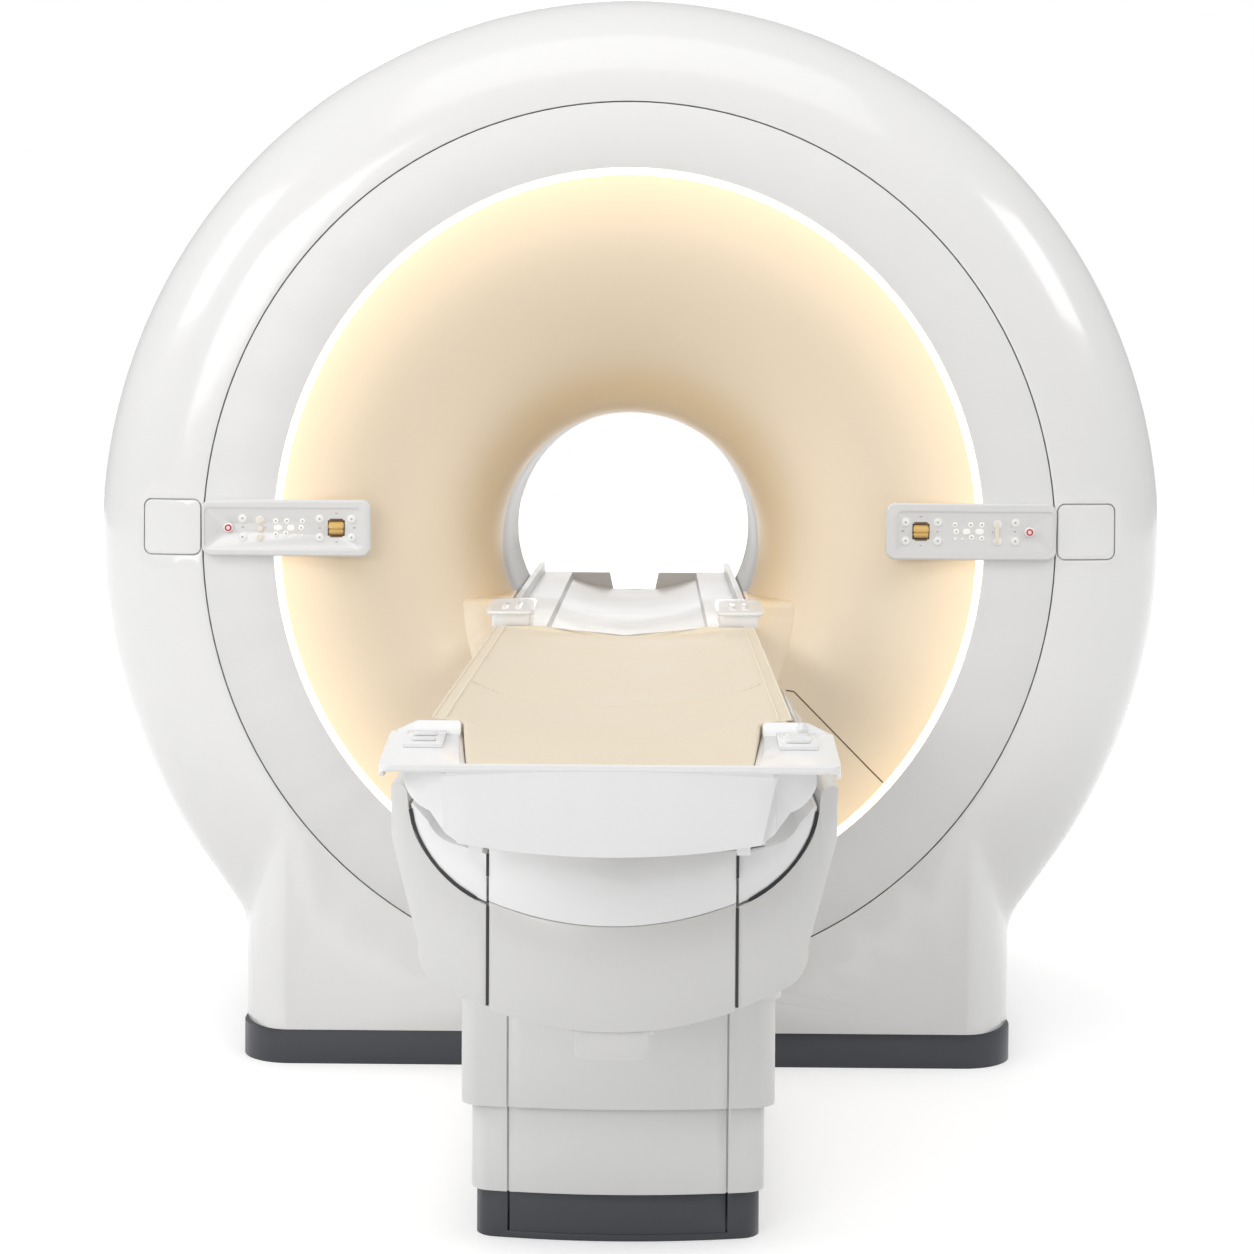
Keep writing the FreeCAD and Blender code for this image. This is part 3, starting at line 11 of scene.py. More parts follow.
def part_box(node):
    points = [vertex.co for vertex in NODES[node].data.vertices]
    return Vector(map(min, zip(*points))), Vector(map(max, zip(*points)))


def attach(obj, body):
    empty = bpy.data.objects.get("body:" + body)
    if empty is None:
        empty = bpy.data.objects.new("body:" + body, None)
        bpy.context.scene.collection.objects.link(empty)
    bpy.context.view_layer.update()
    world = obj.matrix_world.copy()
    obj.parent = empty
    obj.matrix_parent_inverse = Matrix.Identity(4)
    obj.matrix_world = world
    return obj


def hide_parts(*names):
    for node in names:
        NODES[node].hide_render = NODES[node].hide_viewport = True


bl_info = {
    "name": "MRI scanner finishes",
    "version": (1, 0, 0),
    "blender": (4, 5, 0),
    "location": "3D View > Sidebar > Scanner",
    "description": "Finishes, mattress, control panels and studio for the MRI scanner",
    "category": "Object",
}

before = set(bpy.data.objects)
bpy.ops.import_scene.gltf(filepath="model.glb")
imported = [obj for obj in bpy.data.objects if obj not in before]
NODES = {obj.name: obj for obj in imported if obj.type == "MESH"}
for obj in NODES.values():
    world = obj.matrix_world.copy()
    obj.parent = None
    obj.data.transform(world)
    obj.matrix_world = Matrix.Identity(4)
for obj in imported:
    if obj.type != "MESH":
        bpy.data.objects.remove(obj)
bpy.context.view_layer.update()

# places taken from the frame, in metres
RING_LOW, RING_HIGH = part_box("light_ring")
TOP_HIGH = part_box("tabletop")[1]
BOW_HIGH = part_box("end_bow")[1]
WHEEL_LOW, WHEEL_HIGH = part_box("travel_wheel_right")
STOP_LOW, STOP_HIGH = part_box("stop_button_right")
PANEL_LOW, PANEL_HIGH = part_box("control_panel_right")

SIDES = ((1, "right"), (-1, "left"))


# ---------- properties
def colour_property(name, description, default):
    return FloatVectorProperty(name=name, description=description, default=default,
                               size=3, min=0.0, max=1.0, subtype="COLOR")


class ScannerFinishes(bpy.types.PropertyGroup):
    cover: colour_property("Cover", "Colour of the glossy outer covers", (0.85, 0.845, 0.835))
    face_ring: colour_property("Face ring", "Colour of the satin ring inside the seam",
                               (0.82, 0.815, 0.81))
    funnel: colour_property("Funnel", "Colour of the bore's funnel", (0.90, 0.765, 0.585))
    # the glow is painted onto the funnel as emission: painted light of the ring
    glow: colour_property("Glow", "Colour of the light that spills from the ring", (1.0, 0.66, 0.30))
    liner: colour_property("Liner", "Colour of the patient bore's liner", (0.70, 0.70, 0.70))
    table: colour_property("Table", "Colour of the table's glossy mouldings", (0.90, 0.90, 0.90))
    housing: colour_property("Housing", "Colour of the lift housing", (0.72, 0.715, 0.70))
    sleeves: colour_property("Sleeves", "Colour of the telescopic column", (0.80, 0.80, 0.79))
    plinth: colour_property("Plinth", "Colour of the plinths on the floor", (0.045, 0.048, 0.058))
    vinyl: colour_property("Mattress", "Colour of the mattress cover", (0.84, 0.735, 0.57))
    gold: colour_property("Travel wheel", "Colour of the travel wheels", (0.74, 0.47, 0.13))
    stop: colour_property("Stop button", "Colour of the stop buttons' rings", (0.62, 0.03, 0.05))


class ScannerMattress(bpy.types.PropertyGroup):
    groove: FloatProperty(name="Seam depth", description="Depth of the cross seam", default=0.0035,
                          min=0.0, max=0.01, unit="LENGTH")
    pressure: FloatProperty(name="Pressure", description="How hard the filling presses", default=4.0,
                            min=0.0, max=20.0)
    swell: FloatProperty(name="Swell", description="Furthest that the filling may push a point",
                         default=0.004, min=0.0, max=0.03, unit="LENGTH")


class ScannerStudio(bpy.types.PropertyGroup):
    focal: FloatProperty(name="Focal length", description="Lens of the camera, in millimetres",
                         default=72.06, min=20.0, max=200.0)
    shift: FloatProperty(name="Shift", description="Vertical lens shift", default=-0.12,
                         min=-0.5, max=0.5)
    tilt: FloatProperty(name="Tilt", description="How far the camera looks down",
                        default=math.radians(1.822), subtype="ANGLE")
    pan: FloatProperty(name="Pan", description="How far the camera looks to the left",
                       default=math.radians(0.68), subtype="ANGLE")
    roll: FloatProperty(name="Roll", description="How far the camera leans",
                        default=math.radians(0.3), subtype="ANGLE")
    place: FloatVectorProperty(name="Camera place", description="Where the camera stands",
                               default=(0.0610, -6.2077, 1.4583), subtype="TRANSLATION", unit="LENGTH")


# ---------- shader groups
FLOAT, COLOUR, VECTOR = "NodeSocketFloat", "NodeSocketColor", "NodeSocketVector"
SURFACE = [("Colour", COLOUR), ("Roughness", FLOAT), ("Height", FLOAT)]     # what a finish puts out
DRAWN_SCALE = (700.0, 700.0, 9.0)       # grain of drawn metal: fine across, long along


def shader_group(name, inputs, outputs):
    """Empty shader node group with named sockets."""
    group = bpy.data.node_groups.new(name, "ShaderNodeTree")
    for label, kind, value in inputs:
        socket = group.interface.new_socket(label, in_out="INPUT", socket_type=kind)
        if value is not None:
            socket.default_value = value
    for label, kind in outputs:
        group.interface.new_socket(label, in_out="OUTPUT", socket_type=kind)
    return group, group.nodes.new("NodeGroupInput"), group.nodes.new("NodeGroupOutput")


def put_in(tree, node, inputs):
    """Sets a node's inputs, each to a value or to another node's output."""
    for key, value in inputs.items():
        if isinstance(value, bpy.types.NodeSocket):
            tree.links.new(value, node.inputs[key])
        else:
            node.inputs[key].default_value = value
    return node


def add(tree, kind, inputs, **settings):
    """New node with its settings and inputs."""
    node = tree.nodes.new(kind)
    for key, value in settings.items():
        setattr(node, key, value)
    return put_in(tree, node, inputs)


def maths(tree, operation, a, b=0.0, clamp=False):
    return add(tree, "ShaderNodeMath", {0: a, 1: b}, operation=operation, use_clamp=clamp).outputs[0]


def scaled(tree, vector, factor):
    """A colour or vector times a number."""
    return add(tree, "ShaderNodeVectorMath", {0: vector, "Scale": factor}, operation="SCALE").outputs[0]


def noise(tree, vector, scale, detail, **inputs):
    """Factor of a noise texture."""
    given = {"Vector": vector, "Scale": scale, "Detail": detail, **inputs}
    return add(tree, "ShaderNodeTexNoise", given).outputs["Fac"]


def spread(tree, value, low, high, to_low, to_high):
    """A value mapped from one range to another, smoothly."""
    limits = {"Value": value, "From Min": low, "From Max": high, "To Min": to_low, "To Max": to_high}
    return add(tree, "ShaderNodeMapRange", limits, interpolation_type="SMOOTHSTEP").outputs["Result"]


def moulded_skin_group():
    """Moulded and lacquered surface: slow drift of tone, faint smudges and a fine peel."""
    group, given, result = shader_group(
        "moulded_skin", [("Vector", VECTOR, None), ("Colour", COLOUR, (0.8, 0.8, 0.8, 1)),
                         ("Tone", FLOAT, 0.03), ("Peel Scale", FLOAT, 260.0),
                         ("Roughness", FLOAT, 0.3), ("Smudge", FLOAT, 0.05)], SURFACE)
    vector = given.outputs["Vector"]
    drift = noise(group, vector, 1.7, 2.0)
    smudge = noise(group, vector, 9.0, 5.0, Roughness=0.6)
    peel = noise(group, vector, given.outputs["Peel Scale"], 2.0)
    amount = maths(group, "MULTIPLY", maths(group, "SUBTRACT", drift, 0.5), given.outputs["Tone"])
    tone = maths(group, "ADD", amount, 1.0)
    marks = maths(group, "MULTIPLY", spread(group, smudge, 0.35, 0.75, -0.5, 1.0),
                  given.outputs["Smudge"])
    put_in(group, result, {"Colour": scaled(group, given.outputs["Colour"], tone), "Height": peel,
                           "Roughness": maths(group, "ADD", marks, given.outputs["Roughness"])})
    return group


def vinyl_grain_group():
    """Embossed vinyl: pebbled grain, fine pores, and colour a little lighter on the tops of the pebbles
    than in the hollows.
    """
    group, given, result = shader_group(
        "vinyl_grain", [("Vector", VECTOR, None), ("Colour", COLOUR, (0.8, 0.7, 0.5, 1)),
                        ("Grain Scale", FLOAT, 520.0)], SURFACE)
    vector = given.outputs["Vector"]
    warp = add(group, "ShaderNodeTexNoise", {"Vector": vector, "Scale": 90.0, "Detail": 2.0})
    moved = scaled(group, warp.outputs["Color"], 0.006)
    warped = add(group, "ShaderNodeVectorMath", {0: vector, 1: moved}, operation="ADD").outputs[0]
    cells = add(group, "ShaderNodeTexVoronoi",
                {"Vector": warped, "Scale": given.outputs["Grain Scale"]}, feature="SMOOTH_F1")
    pores = noise(group, vector, 1900.0, 1.0)
    drift = noise(group, vector, 4.0, 4.0)
    pebble = spread(group, cells.outputs["Distance"], 0.1, 0.75, 1.0, 0.0)
    shade = maths(group, "ADD", spread(group, pebble, 0.0, 1.0, 0.965, 1.01),
                  maths(group, "MULTIPLY", maths(group, "SUBTRACT", drift, 0.5), 0.07))
    height = maths(group, "ADD", pebble, maths(group, "MULTIPLY", pores, 0.25))
    put_in(group, result, {"Colour": scaled(group, given.outputs["Colour"], shade), "Height": height,
                           "Roughness": spread(group, drift, 0.3, 0.7, 0.40, 0.52)})
    return group


def ring_spill_group():
    """Painted light on the funnel: reach of the light ring's glow painted as emission, painted shade
    darker towards the bore, and a painted highlight at the sides.
    """
    group, given, result = shader_group("ring_spill", [("Vector", VECTOR, None), ("Reach", FLOAT, 0.2)],
                                        [("Painted Glow", FLOAT), ("Painted Shade", FLOAT), ("Sheen", FLOAT)])
    centre = (RING_LOW + RING_HIGH) / 2
    half = (RING_HIGH - RING_LOW) / 2
    parts = add(group, "ShaderNodeSeparateXYZ", {0: given.outputs["Vector"]})
    x = maths(group, "DIVIDE", parts.outputs["X"], half.x)
    z = maths(group, "DIVIDE", maths(group, "SUBTRACT", parts.outputs["Z"], centre.z), half.z)
    square = maths(group, "MULTIPLY", x, x)
    r = maths(group, "SQRT", maths(group, "ADD", square, maths(group, "MULTIPLY", z, z)))
    near = maths(group, "DIVIDE", maths(group, "SUBTRACT", 1.0, r), given.outputs["Reach"])
    spill = maths(group, "SUBTRACT", 1.0, near, clamp=True)
    # painted highlight: a band round the bore, strongest at the sides
    band = maths(group, "MULTIPLY", spread(group, r, 0.44, 0.56, 0.0, 1.0),
                 spread(group, r, 0.56, 0.78, 1.0, 0.0))
    sideways = maths(group, "DIVIDE", square, maths(group, "MULTIPLY", r, r))
    put_in(group, result, {"Painted Glow": maths(group, "POWER", spill, 2.0),
                           "Painted Shade": spread(group, r, 0.40, 0.52, 1.0, 0.0),
                           "Sheen": maths(group, "MULTIPLY", band, sideways)})
    return group


def drawn_metal_group():
    """Brushed or drawn metal: long fine lines in roughness and height."""
    group, given, result = shader_group(
        "drawn_metal", [("Vector", VECTOR, None), ("Colour", COLOUR, (0.6, 0.6, 0.6, 1)),
                        ("Roughness", FLOAT, 0.3)], SURFACE)
    vector = given.outputs["Vector"]
    drawn = add(group, "ShaderNodeVectorMath", {0: vector, 1: DRAWN_SCALE}, operation="MULTIPLY")
    lines = noise(group, drawn.outputs[0], 1.0, 2.0)
    tone = spread(group, noise(group, vector, 14.0, 4.0), 0.3, 0.7, 0.9, 1.05)
    rough = maths(group, "ADD", given.outputs["Roughness"], spread(group, lines, 0.3, 0.7, -0.06, 0.1))
    put_in(group, result, {"Colour": scaled(group, given.outputs["Colour"], tone),
                           "Roughness": rough, "Height": lines})
    return group


GROUPS = {}


def shader_groups():
    """The shared groups, built once."""
    if not GROUPS:
        GROUPS.update(skin=moulded_skin_group(), vinyl=vinyl_grain_group(), spill=ring_spill_group(),
                      metal=drawn_metal_group())
    return GROUPS


# ---------- materials
COAT_ROUGHNESS = 0.06
FINE_BUMP, GRAIN_BUMP = 0.00002, 0.00006    # depths of the finest relief, in metres
PAINTED_GLOW_REACH = 0.30                   # how far the ring's light, painted on the funnel as a glow, reaches, as a share of its half width
PAINTED_SHADE_TONE = (1.0, 0.93, 0.78)       # painted shade: the funnel's colour darkened at the bore, as a share of its own
# colour of the painted highlight at the funnel's sides, given as emission
PAINTED_HIGHLIGHT = (0.13, 0.115, 0.095)


def material_base(name):
    material = bpy.data.materials.new(name)
    material.use_nodes = True
    tree = material.node_tree
    tree.nodes.clear()
    output = tree.nodes.new("ShaderNodeOutputMaterial")
    shader = tree.nodes.new("ShaderNodeBsdfPrincipled")
    tree.links.new(shader.outputs[0], output.inputs[0])
    place = tree.nodes.new("ShaderNodeTexCoord").outputs["Object"]
    return material, tree, shader, place


def group_node(tree, group, **inputs):
    """A shared group in a material, with its inputs, where a colour is given by three numbers."""
    given = {key.replace("_", " "): (*value, 1.0) if isinstance(value, (tuple, Color)) else value
             for key, value in inputs.items()}
    return add(tree, "ShaderNodeGroup", given, node_tree=group)


def dress(tree, shader, node, depth):
    """Colour, roughness and bump of a group, on the shader."""
    relief = {"Height": node.outputs["Height"], "Strength": 1.0, "Distance": depth}
    bump = add(tree, "ShaderNodeBump", relief)
    put_in(tree, shader, {"Base Color": node.outputs["Colour"], "Roughness": node.outputs["Roughness"],
                          "Normal": bump.outputs[0]})


def put_skin(tree, shader, place, colour, roughness, tone=0.03, peel=260.0, depth=0.00003, smudge=0.05):
    """The moulded skin's group on a shader, with its bump's depth in metres."""
    skin = group_node(tree, shader_groups()["skin"], Vector=place, Colour=colour, Tone=tone,
                      Peel_Scale=peel, Roughness=roughness, Smudge=smudge)
    dress(tree, shader, skin, depth)
    return skin


def moulded(name, colour, roughness, coat=0.0, **skin):
    """Moulded or lacquered piece."""
    material, tree, shader, place = material_base(name)
    put_skin(tree, shader, place, colour, roughness, **skin)
    put_in(tree, shader, {"Coat Weight": coat, "Coat Roughness": COAT_ROUGHNESS})
    return material


def metal(name, colour, roughness):
    material, tree, shader, place = material_base(name)
    drawn = group_node(tree, shader_groups()["metal"], Vector=place, Colour=colour, Roughness=roughness)
    dress(tree, shader, drawn, FINE_BUMP)
    put_in(tree, shader, {"Metallic": 1.0})
    return material


def funnel_material(name, colour, glow, strength):
    """Satin funnel with painted light: the ring's light painted as a glow from its rim, painted shade
    darker towards the bore, and a painted highlight at its sides.
    """
    material, tree, shader, place = material_base(name)
    skin = put_skin(tree, shader, place, colour, 0.34, peel=180.0, smudge=0.04)
    spill = group_node(tree, shader_groups()["spill"], Vector=place, Reach=PAINTED_GLOW_REACH)
    # painted shade: the funnel's colour mixed darker towards the bore
    painted_shade_colour = (*[c * k for c, k in zip(colour, PAINTED_SHADE_TONE)], 1.0)
    shaded_colour = add(tree, "ShaderNodeMix", {"Factor": spill.outputs["Painted Shade"], "A": skin.outputs["Colour"],
                                         "B": painted_shade_colour}, data_type="RGBA")
    # painted light: the ring's glow and the highlight at the sides, given as emission on the funnel
    ring = scaled(tree, glow, spill.outputs["Painted Glow"])
    highlight = scaled(tree, PAINTED_HIGHLIGHT, spill.outputs["Sheen"])
    lamp = add(tree, "ShaderNodeVectorMath", {0: ring, 1: highlight}, operation="ADD")
    put_in(tree, shader, {"Base Color": shaded_colour.outputs["Result"], "Emission Color": lamp.outputs[0],
                          "Emission Strength": strength})
    return material


def lamp_material(name, colour, strength):
    """Lit diffuser with a faint moulding grain."""
    material, tree, shader, place = material_base(name)
    skin = put_skin(tree, shader, place, colour, 0.3, tone=0.04, peel=300.0, depth=FINE_BUMP)
    put_in(tree, shader, {"Emission Color": skin.outputs["Colour"], "Emission Strength": strength})
    return material


def vinyl_material(name, colour):
    material, tree, shader, place = material_base(name)
    grain = group_node(tree, shader_groups()["vinyl"], Vector=place, Colour=colour)
    dress(tree, shader, grain, GRAIN_BUMP)
    put_in(tree, shader, {"Sheen Weight": 0.15, "Sheen Roughness": 0.4})
    return material


MATERIALS = {}


def finishes():
    """Every finish of the scanner, built once from the user's colours."""
    if MATERIALS:
        return MATERIALS
    p = bpy.context.scene.scanner_finishes
    MATERIALS.update(
        cover=moulded("cover_gloss", p.cover, 0.20, coat=0.35, tone=0.02, depth=FINE_BUMP),
        face_ring=moulded("face_ring_satin", p.face_ring, 0.42, tone=0.015),
        light_ring=lamp_material("light_ring_diffuser", (1.0, 0.93, 0.78), 1.35),
        funnel=funnel_material("funnel_satin_painted_light", p.funnel, p.glow, 0.42),
        rear_funnel=moulded("rear_funnel_satin", p.funnel, 0.40),
        liner=moulded("bore_liner_satin", p.liner, 0.42),
        table=moulded("table_gloss", p.table, 0.22, coat=0.3, tone=0.015),
        housing=moulded("housing_lacquer", p.housing, 0.30, coat=0.15, tone=0.02),
        sleeves=moulded("column_lacquer", p.sleeves, 0.36, tone=0.02, peel=420.0),
        plinth=moulded("plinth_paint", p.plinth, 0.40, coat=0.1, tone=0.1, peel=500.0,
                       depth=GRAIN_BUMP),
        top=moulded("table_top_lacquer", (0.84, 0.75, 0.62), 0.34, coat=0.15),
        vinyl=vinyl_material("mattress_vinyl", p.vinyl),
        panel=moulded("panel_clear_coat", (0.76, 0.755, 0.745), 0.22, coat=0.3, tone=0.02),
        key=moulded("key_rubber", (0.93, 0.925, 0.90), 0.38),
        key_ring=moulded("key_ring_grey", (0.42, 0.41, 0.39), 0.42),
        lamp=lamp_material("lamp_lens", (0.96, 0.94, 0.90), 0.10),
        cream=moulded("key_cream", (0.86, 0.79, 0.66), 0.4),
        band=moulded("mattress_binding", (0.90, 0.82, 0.68), 0.42, tone=0.04, peel=900.0,
                     depth=0.00005),
        thread=moulded("seam_thread", (0.60, 0.48, 0.32), 0.5, tone=0.06),
        gold=moulded("travel_wheel_gold", p.gold, 0.28, coat=0.4, tone=0.08),
        stop=moulded("stop_red", p.stop, 0.40),
        # dark brown of the funnel's split line, and painted shade in the wheel slots
        seam=moulded("seam_line_and_slot_shade", (0.16, 0.09, 0.05), 0.6, tone=0.1),
        frame=moulded("frame_grey", (0.22, 0.22, 0.225), 0.5),
        bridge=moulded("bridge_satin", (0.78, 0.78, 0.785), 0.34, coat=0.1),
        # near-black painted shade, for the housing's gaps and the ears' slots
        gasket=moulded("painted_shade_black", (0.022, 0.022, 0.024), 0.55, tone=0.1),
        steel=metal("drawn_steel", (0.62, 0.62, 0.63), 0.26),
        aluminium=metal("brushed_aluminium", (0.74, 0.75, 0.76), 0.34),
        vessel=moulded("vessel_paint", (0.42, 0.45, 0.48), 0.4),
        resin=moulded("coil_resin", (0.30, 0.22, 0.12), 0.35, tone=0.2),
    )
    return MATERIALS


FINISHED_NODES = {
    "cover": "gantry_front_cover gantry_middle_cover gantry_rear_cover panel_insert_left "
             "panel_insert_right",
    "face_ring": "front_face_ring",
    "light_ring": "light_ring",
    "frame": "front_frame",
    "funnel": "funnel_front bed_fairing",
    "rear_funnel": "funnel_rear",
    "liner": "bore_liner",
    "resin": "body_coil gradient_coil",
    "vessel": "magnet_vessel magnet_feet",
    "aluminium": "cold_head lift_frame support_cradle slide_rails table_carriage",
    "plinth": "gantry_plinth pedestal_base pedestal_panel",
    "bridge": "bore_bridge",
    "panel": "control_panel_left control_panel_right",
    "key": "panel_keys stop_button_left stop_button_right",
    "gold": "travel_wheel_left travel_wheel_right",
    "steel": "lift_cylinders lower_lift_tubes upper_lift_tubes lift_rods",
    "sleeves": "middle_sleeve middle_panel upper_sleeve upper_panel",
    "housing": "wing_left wing_right front_fascia housing_rear_cover handle_bracket release_handle",
    "table": "wing_lip_left wing_lip_right front_apron head_block_left head_block_right end_bow "
             "ear_latch_left ear_latch_right",
    "top": "tabletop",
    "vinyl": "mattress",
}
NODE_FINISH = {node: finish for finish, nodes in FINISHED_NODES.items() for node in nodes.split()}
ROUNDED_NODES = {   # by the rounding of their edges, in metres
    0.004: "bed_fairing",
    0.003: "wing_left wing_right gantry_plinth",
    0.0025: "end_bow upper_sleeve middle_sleeve",
    0.002: "wing_lip_left wing_lip_right release_handle head_block_left head_block_right pedestal_base",
    0.0015: "front_apron front_fascia upper_panel middle_panel",
    0.0012: "pedestal_panel control_panel_left control_panel_right gantry_front_cover",
    0.001: "ear_latch_left ear_latch_right front_face_ring panel_insert_left panel_insert_right "
           "housing_rear_cover",
    0.0004: "panel_keys",
}
SOFT_EDGES = {node: width for width, nodes in ROUNDED_NODES.items() for node in nodes.split()}
EDGE_ANGLE = math.radians(32.0)
WELD_DISTANCE = 0.00002


def soften(obj, width):
    """Rounded edges and smooth shading, with no change to the mesh itself."""
    for polygon in obj.data.polygons:
        polygon.use_smooth = True
    weld = obj.modifiers.new("weld", "WELD")
    weld.merge_threshold = WELD_DISTANCE
    if width:
        bevel = obj.modifiers.new("soft_edges", "BEVEL")
        bevel.width = width
        bevel.segments = 2
        bevel.limit_method = "ANGLE"
        bevel.angle_limit = EDGE_ANGLE
        bevel.miter_outer = "MITER_ARC"
        bevel.harden_normals = True
        bevel.use_clamp_overlap = True
    else:
        split = obj.modifiers.new("edge_split", "EDGE_SPLIT")
        split.split_angle = EDGE_ANGLE


class SCANNER_OT_finishes(bpy.types.Operator):
    """Gives every construction piece its finish and its softened edges"""
    bl_idname = "scanner.finishes"
    bl_label = "Finishes"

    def execute(self, context):
        for name, obj in NODES.items():
            obj.data.materials.clear()
            obj.data.materials.append(finishes()[NODE_FINISH[name]])
            soften(obj, SOFT_EDGES.get(name, 0.0))
        return {"FINISHED"}


# ---------- mesh helpers
def new_object(name, data):
    obj = bpy.data.objects.new(name, data)
    bpy.context.scene.collection.objects.link(obj)
    return obj


def piece(name, verts, faces, finish, body, node, smooth=True):
    """New mesh piece that rides on a body and has the material of a finish; the node argument is not
    used.
    """
    mesh = bpy.data.meshes.new(name)
    mesh.from_pydata([tuple(v) for v in verts], [], faces)
    mesh.validate()
    mesh.update()
    obj = new_object(name, mesh)
    for polygon in mesh.polygons:
        polygon.use_smooth = smooth
    mesh.materials.append(finishes()[finish])
    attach(obj, body)
    return obj


def tube_rings(rings):
    """Vertices and faces of a capped skin over equal rings of points."""
    count, total = len(rings[0]), len(rings)
    verts = [v for ring in rings for v in ring]
    faces = []
    for i in range(total - 1):
        a, b = i * count, (i + 1) * count
        faces += [(a + j, a + (j + 1) % count, b + (j + 1) % count, b + j) for j in range(count)]
    faces.append(tuple(reversed(range(count))))
    faces.append(tuple(range((total - 1) * count, total * count)))
    return verts, faces


def circle(count, power=1.0):
    """Cosines and sines round a circle; a power below 1 squares it off."""
    turns = [2 * math.pi * k / count for k in range(count)]
    if power == 1.0:
        return [(math.cos(a), math.sin(a)) for a in turns]
    return [tuple(math.copysign(abs(f(a)) ** power, f(a)) for f in (math.cos, math.sin)) for a in turns]


def turned(profile, place, segments):
    """Skin of a profile of (radius, height) pairs turned about the line towards the patient end."""
    axis = Vector((0, -1, 0))
    side = Vector((0, 0, 1)).cross(axis).normalized()
    other = axis.cross(side)
    return tube_rings([[Vector(place) + axis * h + side * (r * c) + other * (r * s)
                        for c, s in circle(segments)] for r, h in profile])


def surface_tree(mesh):
    """Search tree of a mesh, for rays."""
    faces = [tuple(f.vertices) for f in mesh.polygons]
    return BVHTree.FromPolygons([v.co for v in mesh.vertices], faces)


def mirrored(ring, side):
    """A ring of points in the order that keeps its faces outwards on either side."""
    return ring if side > 0 else ring[::-1]


def refine(obj):
    finer = obj.modifiers.new("finer", "SUBSURF")
    finer.levels = finer.render_levels = 1


def join_parts(parts):
    """Several skins as one."""
    verts, faces = [], []
    for v, f in parts:
        base = len(verts)
        verts += list(v)
        faces += [tuple(i + base for i in face) for face in f]
    return verts, faces


# ---------- mattress
PAD_CENTRE = ((-2.858, 0.9590), (-2.815, 0.9670), (-2.77, 0.9742), (-2.735, 0.9792), (-2.70, 0.9830),
              (-2.64, 0.9866), (-2.56, 0.9886), (-2.46, 0.9895), (-1.345, 0.9895), (-1.31, 0.9882),
              (-1.275, 0.9866), (-1.251, 0.982))    # (y, z) along the middle of the pad's top
PAD_EDGE = ((-2.858, 0.9600), (-2.815, 0.9715), (-2.77, 0.9850), (-2.735, 0.9970), (-2.70, 1.0066),
            (-2.64, 1.0074), (-2.56, 1.0080), (-1.31, 1.0080), (-1.275, 1.0040), (-1.251, 0.9980))
PAD_FULL, PAD_OUT, PAD_NARROW = 0.2315, 0.2545, 0.159   # half widths: the seat, the lips, the tongue
FOOT_Y, EAR_REAR, HEAD_FACE = -2.858, -2.70, -1.294
FOOT_HALF_W, FOOT_FLARE, FOOT_LENGTH = 0.1926, 0.0156, 0.158    # the foot widens up to the ears
# cross-sections at the pad's corners, then (from, to, step) of those between, finest at the seam
PAD_ENDS = (-2.857, EAR_REAR - 0.0012, EAR_REAR - 0.0001, EAR_REAR + 0.001, EAR_REAR + 0.003,
            HEAD_FACE - 0.0030, HEAD_FACE - 0.0012, HEAD_FACE, -1.2515)
PAD_RUNS = ((-2.845, -2.705, 0.012), (-2.69, -2.40, 0.02), (-2.398, -2.23, 0.0024),
            (-2.22, -1.30, 0.02), (-1.283, -1.255, 0.010))
TONGUE_CURL, CURL_POWER = 0.020, 2.6
BOW_SEAT_Z, TOP_SEAT_Z, DISH_RISE = 0.9552, 0.9713, 0.0268
LEDGE_Z = TOP_HIGH.z + 0.0004
TOP_STEPS, SEAT_STEPS = 62, 20
CLOTH_FRAMES, CLOTH_STIFFNESS = 16, 12.0
CLAMPED, FREE_OVER = 0.008, 0.04    # margin at the edges that stays put, and the width it fades over
SEAM_RADIUS, SEAM_HALF_W = 0.262, 0.226
SEAM_Y = -2.387 + SEAM_RADIUS
SEAM_WIDTH, RIDGE_WIDTH, RIDGE_OFF, RIDGE_SHARE = 0.0035, 0.005, 0.010, 0.3
THREAD_RADIUS, BEAD_RADIUS = 0.0011, 0.0017
BEADS = (0.2335, 0.2512)    # where the bound edges run, from the middle


def between(table, value):
    """Height at a value of a table of (place, height) pairs, straight between its rows."""
    if value <= table[0][0]:
        return table[0][1]
    for (a, za), (b, zb) in zip(table, table[1:]):
        if value <= b:
            t = (value - a) / (b - a)
            return za + (zb - za) * t
    return table[-1][1]


def pad_half_width(y):
    if y <= EAR_REAR + 0.0005:
        return FOOT_HALF_W + FOOT_FLARE * (y - FOOT_Y) / FOOT_LENGTH
    return PAD_FULL if y < HEAD_FACE - 0.0005 else PAD_NARROW


def pad_top(x, y):
    """Height of the pad's dished top, which is curled up at the tongue's corners."""
    centre, edge = between(PAD_CENTRE, y), between(PAD_EDGE, y)
    if y > HEAD_FACE - 0.0005:
        return centre + TONGUE_CURL * (abs(x) / PAD_NARROW) ** CURL_POWER
    return centre + (edge - centre) * min(1.0, abs(x) / PAD_FULL) ** 2


def pad_seat(x, y):
    """Height of the pad's underside, flat over the bow and dished over the table top."""
    return BOW_SEAT_Z if y < EAR_REAR - 0.0002 else TOP_SEAT_Z + DISH_RISE * (x / PAD_FULL) ** 2


